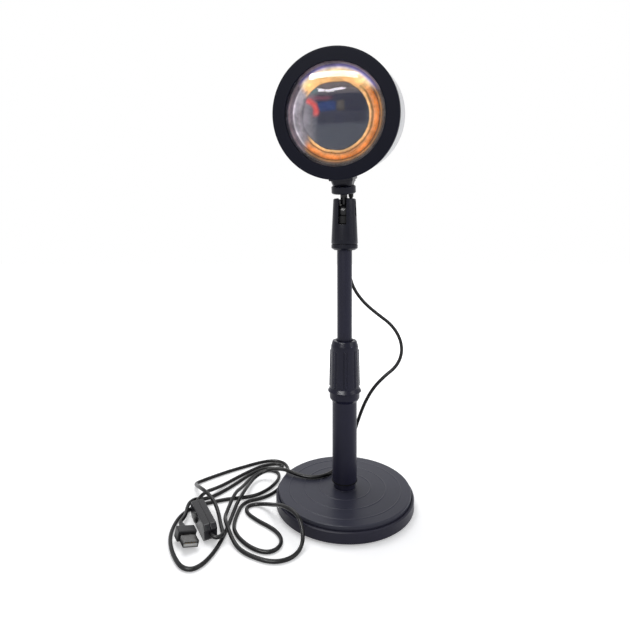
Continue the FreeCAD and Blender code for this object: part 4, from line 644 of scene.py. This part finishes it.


# ---- Lens and filter ------------------------------------------------------------------------
# A thick clear glass lens, flat behind and crowned in front, over a coloured film that throws
# the sunset. The film's coatings show as amber, brown and lilac bands round a dark middle; the
# middle's greys and patches, a red arc and a thin pale line are painted reflections, and the
# near-white band aloft is a painted highlight.
# The lens's radii and its heights on its axis are in millimetres; dome_half is in degrees.
dome_radius, dome_centre, dome_half = 110, -39.7, 22.6
lens_back, flat_radius = 59.2, 42.8
swing = np.radians(np.linspace(dome_half, 0, 40))
dome = np.c_[dome_radius * np.sin(swing), dome_radius * np.cos(swing) + dome_centre]
flat = np.c_[np.linspace(0, flat_radius, 24), np.full(24, lens_back)]
lens_edge = [(43.1, lens_back), (43.3, 59.4), (43.3, 61.5), (43.2, 61.75), (43.0, 61.8),
             (42.4, 61.8)]
lens_line = 0.001 * np.vstack([flat, lens_edge, dome])
dome_glass = stands_for(spun("crown_lens", lens_line, round_turn(sides=160), optic_axis),
                        "dome_lens")
glass = bpy.data.materials.new("lens glass")
glass.use_nodes = True
shader = glass.node_tree.nodes["Principled BSDF"]
shader.inputs["Base Color"].default_value = (1, 1, 1, 1)
shader.inputs["Roughness"].default_value = 0.0
shader.inputs["Transmission Weight"].default_value = 1.0
shader.inputs["IOR"].default_value = 1.5
shader.inputs["Specular Tint"].default_value = (0.34, 0.34, 0.36, 1)
wear(glass, dome_glass)


def tint(red, green, blue):
    """Linear colour of a chip given in 0 to 255 as a screen shows it: a curve of power 2.2."""
    return tuple((np.array([red, green, blue]) / 255) ** 2.2) + (1.0,)


def bands(tree, place, *stops):
    """Colour ramp over place, from rows of a position and a chip."""
    node = step(tree, "ValToRGB", place)
    elements = node.color_ramp.elements
    while len(elements) < len(stops):
        elements.new(0.5)
    for element, (position, chip) in zip(elements, stops):
        element.position, element.color = position, tint(*chip)
    return node.outputs[0]


def spread(tree, source, low, high, least, most):
    """Source from low to high taken evenly to least to most, and held there beyond."""
    return step(tree, "MapRange", source, low, high, least, most).outputs[0]


def fade(tree, source, start, end):
    """Mask that goes smoothly from 0 where the source is at start to 1 where it is at end."""
    return step(tree, "MapRange", source, start, end, 0.0, 1.0,
                interpolation_type="SMOOTHSTEP").outputs[0]


def window(tree, source, middle, half, soft):
    """Mask that is 1 within half of the middle, with edges that fade over twice soft."""
    off = worked(tree, "ABSOLUTE", worked(tree, "SUBTRACT", source, middle), 0)
    return fade(tree, off, half + soft, half - soft)


def product(tree, mask, *others):
    """Masks and strengths multiplied, one after another."""
    for other in others:
        mask = worked(tree, "MULTIPLY", mask, other)
    return mask


def laid(tree, mask, under, over):
    """Colour over laid on colour under where the mask is 1."""
    mix = tree.nodes.new("ShaderNodeMix")
    mix.data_type = "RGBA"
    for socket, source in ((mix.inputs[0], mask), (mix.inputs[6], under), (mix.inputs[7], over)):
        if isinstance(source, bpy.types.NodeSocket):
            tree.links.new(source, socket)
        else:
            socket.default_value = source
    return mix.outputs[2]


def dimmed(tree, colour, amount):
    """Colour times an amount."""
    node = step(tree, "VectorMath", colour, operation="SCALE")
    tree.links.new(amount, node.inputs["Scale"])
    return node.outputs[0]


def film_ring(tree, u, v, m, b, drift):
    """Colour of the ring: bands that run with m / (m + b).

    They are warm at the right and below, paler aloft and lilac at the left, with a brown patch in
    the right-hand ones, and the drift makes them lighter and darker. Aloft they turn near white
    under the strip box's reflection, a painted highlight, and the lilac ones hold a thin pale
    line, a painted reflection.
    """
    out = worked(tree, "MAXIMUM", m, 0.0)
    width = worked(tree, "ADD", out, worked(tree, "MAXIMUM", b, 0.4))
    q = worked(tree, "DIVIDE", out, width)
    warm = bands(tree, q, (0.0, (64, 46, 26)), (0.06, (238, 190, 132)), (0.15, (236, 172, 104)),
                 (0.23, (112, 76, 34)), (0.31, (214, 140, 86)), (0.45, (234, 140, 64)),
                 (0.58, (204, 108, 40)), (0.66, (84, 50, 18)), (0.74, (172, 116, 62)),
                 (0.83, (96, 76, 58)), (0.95, (70, 66, 66)))
    # Aloft, from 0.62 to 0.74, the bands are near white: a painted highlight under the strip box's
    # reflection.
    high = bands(tree, q, (0.0, (92, 66, 46)), (0.07, (244, 182, 118)), (0.35, (252, 200, 128)),
                 (0.62, (250, 224, 170)), (0.74, (226, 206, 214)), (0.80, (150, 138, 190)),
                 (0.88, (92, 82, 150)), (0.96, (140, 124, 138)))
    # At 0.60 the lilac bands hold a thin pale line: a painted reflection of the holder's inner wall.
    cool = bands(tree, q, (0.0, (92, 90, 98)), (0.25, (150, 142, 150)), (0.48, (146, 140, 150)),
                 (0.60, (206, 198, 206)), (0.64, (116, 104, 116)), (0.76, (92, 80, 90)),
                 (0.88, (128, 108, 118)), (0.97, (74, 70, 80)))
    aloft = fade(tree, v, 15.0, 24.0)
    lean = worked(tree, "MULTIPLY_ADD", worked(tree, "ABSOLUTE", v, 0.0), 0.55, u)
    left = fade(tree, lean, -9.0, -17.0)
    ring = laid(tree, left, laid(tree, aloft, warm, high), cool)
    brown = product(tree, fade(tree, u, 24.0, 31.0), window(tree, q, 0.20, 0.07, 0.05), 0.75)
    ring = laid(tree, brown, ring, tint(112, 78, 50))
    return dimmed(tree, ring, spread(tree, drift, 0.36, 0.6, 0.72, 1.22))


def painted_middle_reflections(tree, u, v, bend):
    """Colour of the dark middle, a painted reflection: soft patches laid on it one after another.

    A patch is a window in u times one in v, each of middle, half width and softness, times a
    strength. The painted red reflection follows an arc: a window in bend, the distance from the
    arc's centre.
    """
    def patch(colour, wide, high, strength, chip):
        mask = product(tree, window(tree, u, *wide), window(tree, v, *high), strength)
        return laid(tree, mask, colour, tint(*chip))

    # Painted reflection: the middle's grey, lighter near the top.
    colour = laid(tree, fade(tree, v, 22.0, 12.0), tint(92, 84, 86), tint(62, 66, 76))
    # Painted reflections: a blue-black patch of the camera, then a blue one.
    colour = patch(colour, (6.0, 20.0, 2.0), (4.5, 11.5, 1.5), 1.0, (22, 25, 46))
    colour = patch(colour, (-6.0, 7.0, 1.0), (7.0, 3.5, 1.0), 0.8, (18, 46, 92))
    colour = patch(colour, (5.0, 3.0, 1.0), (7.0, 4.0, 1.0), 0.7, (72, 66, 58))
    lighter_left = product(tree, fade(tree, u, -13.0, -26.0), 0.75)
    colour = laid(tree, lighter_left, colour, tint(140, 134, 142))
    colour = patch(colour, (-19.0, 6.0, 3.0), (20.5, 3.0, 2.0), 0.8, (84, 118, 120))
    # A painted reflection of a red thing, along an arc.
    red_reflection = product(tree, window(tree, bend, 8.6, 2.0, 1.7), window(tree, u, -10.0, 13.0, 2.0),
                    window(tree, v, 16.0, 15.5, 2.5), 0.85)
    colour = laid(tree, red_reflection, colour, tint(206, 76, 72))
    return patch(colour, (-11.0, 8.0, 4.0), (13.5, 1.6, 1.4), 0.4, (140, 70, 88))


def film_and_painted_reflections():
    """Material of the filter: a ring of coloured bands round a dark middle of painted reflections.

    With u, v in millimetres on the film, waved a little by a noise, m is the distance outside the
    dark middle, a disc cut flat above, and b the distance inside the rim.
    """
    middle_radius, middle_top, rim_radius, corner_ease = 27.0, 25.0, 41.0, 2.0
    # The second centre is that of the painted red reflection's arc.
    middle_centre, red_reflection_centre, wave_reach = (0.5, -0.7, 0), (-23.5, 3.5, 0), (2.2, 2.2, 0.0)
    material = bpy.data.materials.new("film and painted reflections")
    material.use_nodes = True
    tree = material.node_tree
    shader = tree.nodes["Principled BSDF"]

    def noise(scale, detail, roughness):
        """Noise on the film, with its scale per millimetre."""
        return step(tree, "TexNoise", centred, None, scale, detail, roughness).outputs

    def on_film(point):
        """Point with its height above the film taken out."""
        return step(tree, "VectorMath", point, (1, 1, 0), operation="MULTIPLY").outputs[0]

    def far_from(point, centre):
        """Distance of a point from a centre."""
        return step(tree, "VectorMath", point, centre, operation="DISTANCE").outputs["Value"]

    place = step(tree, "TexCoord").outputs["Object"]
    spot, turn, _ = optic_axis.decompose()
    centred = step(tree, "Mapping", place, spot, turn.to_euler(), (0.001, 0.001, 0.001),
                   vector_type="TEXTURE").outputs[0]
    shift = step(tree, "VectorMath", noise(0.11, 2.0, 0.5)["Color"], (0.5, 0.5, 0.5),
                 operation="SUBTRACT").outputs[0]
    waved = on_film(step(tree, "VectorMath", shift, wave_reach, centred,
                         operation="MULTIPLY_ADD").outputs[0])
    u, v, _ = step(tree, "SeparateXYZ", waved).outputs
    outside = worked(tree, "SUBTRACT", far_from(waved, middle_centre), middle_radius)
    above = worked(tree, "SUBTRACT", v, middle_top)
    m = worked(tree, "SMOOTH_MAX", outside, above, corner_ease)
    outer = step(tree, "VectorMath", on_film(centred), operation="LENGTH").outputs["Value"]
    b = worked(tree, "SUBTRACT", rim_radius, outer)
    ring = film_ring(tree, u, v, m, b, noise(0.085, 2.0, 0.5)["Fac"])
    middle = painted_middle_reflections(tree, u, v, far_from(waved, red_reflection_centre))
    whole = laid(tree, fade(tree, m, -0.8, 0.6), middle, ring)
    mottle = noise(0.35, 4.0, 0.6)["Fac"]
    colour = dimmed(tree, whole, spread(tree, mottle, 0.3, 0.7, 0.8, 1.2))
    tree.links.new(colour, shader.inputs["Base Color"])
    tree.links.new(spread(tree, mottle, 0.3, 0.7, 0.3, 0.5), shader.inputs["Roughness"])
    shader.inputs["Specular IOR Level"].default_value = 0.1
    return material


# The holder and the gasket wear the film too: a painted reflection of the film's colours.
wear(film_and_painted_reflections(), nodes["color_filter"], nodes["filter_holder"], nodes["lens_gasket"])


# ---- In-line switch -------------------------------------------------------------------------
# Two moulded halves round a switch core, screwed together, with a round push button in the
# side and the lead through its pointed ends.
switch_plastic = skinned("switch plastic", (0.010, 0.010, 0.0135), 0.28, scuffs=0.08, grain=2200,
                         depth=0.000005, specular=0.32)
switch_cap = eased("switch_cap", "switch_front", 0.0009)
switch_tray = eased("switch_tray", "switch_back", 0.0009)
wear(switch_plastic, switch_cap, switch_tray, nodes["switch_core"])
push_button = eased("push_button", "switch_button", 0.0003)
wear(skinned("button plastic", (0.010, 0.010, 0.011), 0.3, grain=2000), push_button)
wear(plated, nodes["switch_screws"])


# ---- Plug -----------------------------------------------------------------------------------
# A moulded grip with a pressed, folded steel shell, a plastic tongue with four gilt contacts
# in it, and a short boot over the lead.
plug_body = eased("plug_body", "plug_grip", 0.0008, segments=4)
plug_jacket = skinned("plug jacket", (0.010, 0.010, 0.0125), 0.38, grain=2400, depth=0.000005,
                      specular=0.3)
wear(plug_jacket, plug_body, nodes["plug_boot"])
shell = eased("pressed_shell", "plug_shell", 0.00014)
shell_plate = skinned("shell plate", (0.13, 0.13, 0.13), 0.2, unevenness=0.4, grain=3000,
                      cloud=300, metallic=1.0)
wear(shell_plate, shell)
wear(skinned("contact gilt", (0.85, 0.6, 0.25), 0.3, metallic=1.0), nodes["plug_contacts"])
wear(skinned("tongue plastic", (0.62, 0.62, 0.6), 0.5), nodes["plug_tongue"])
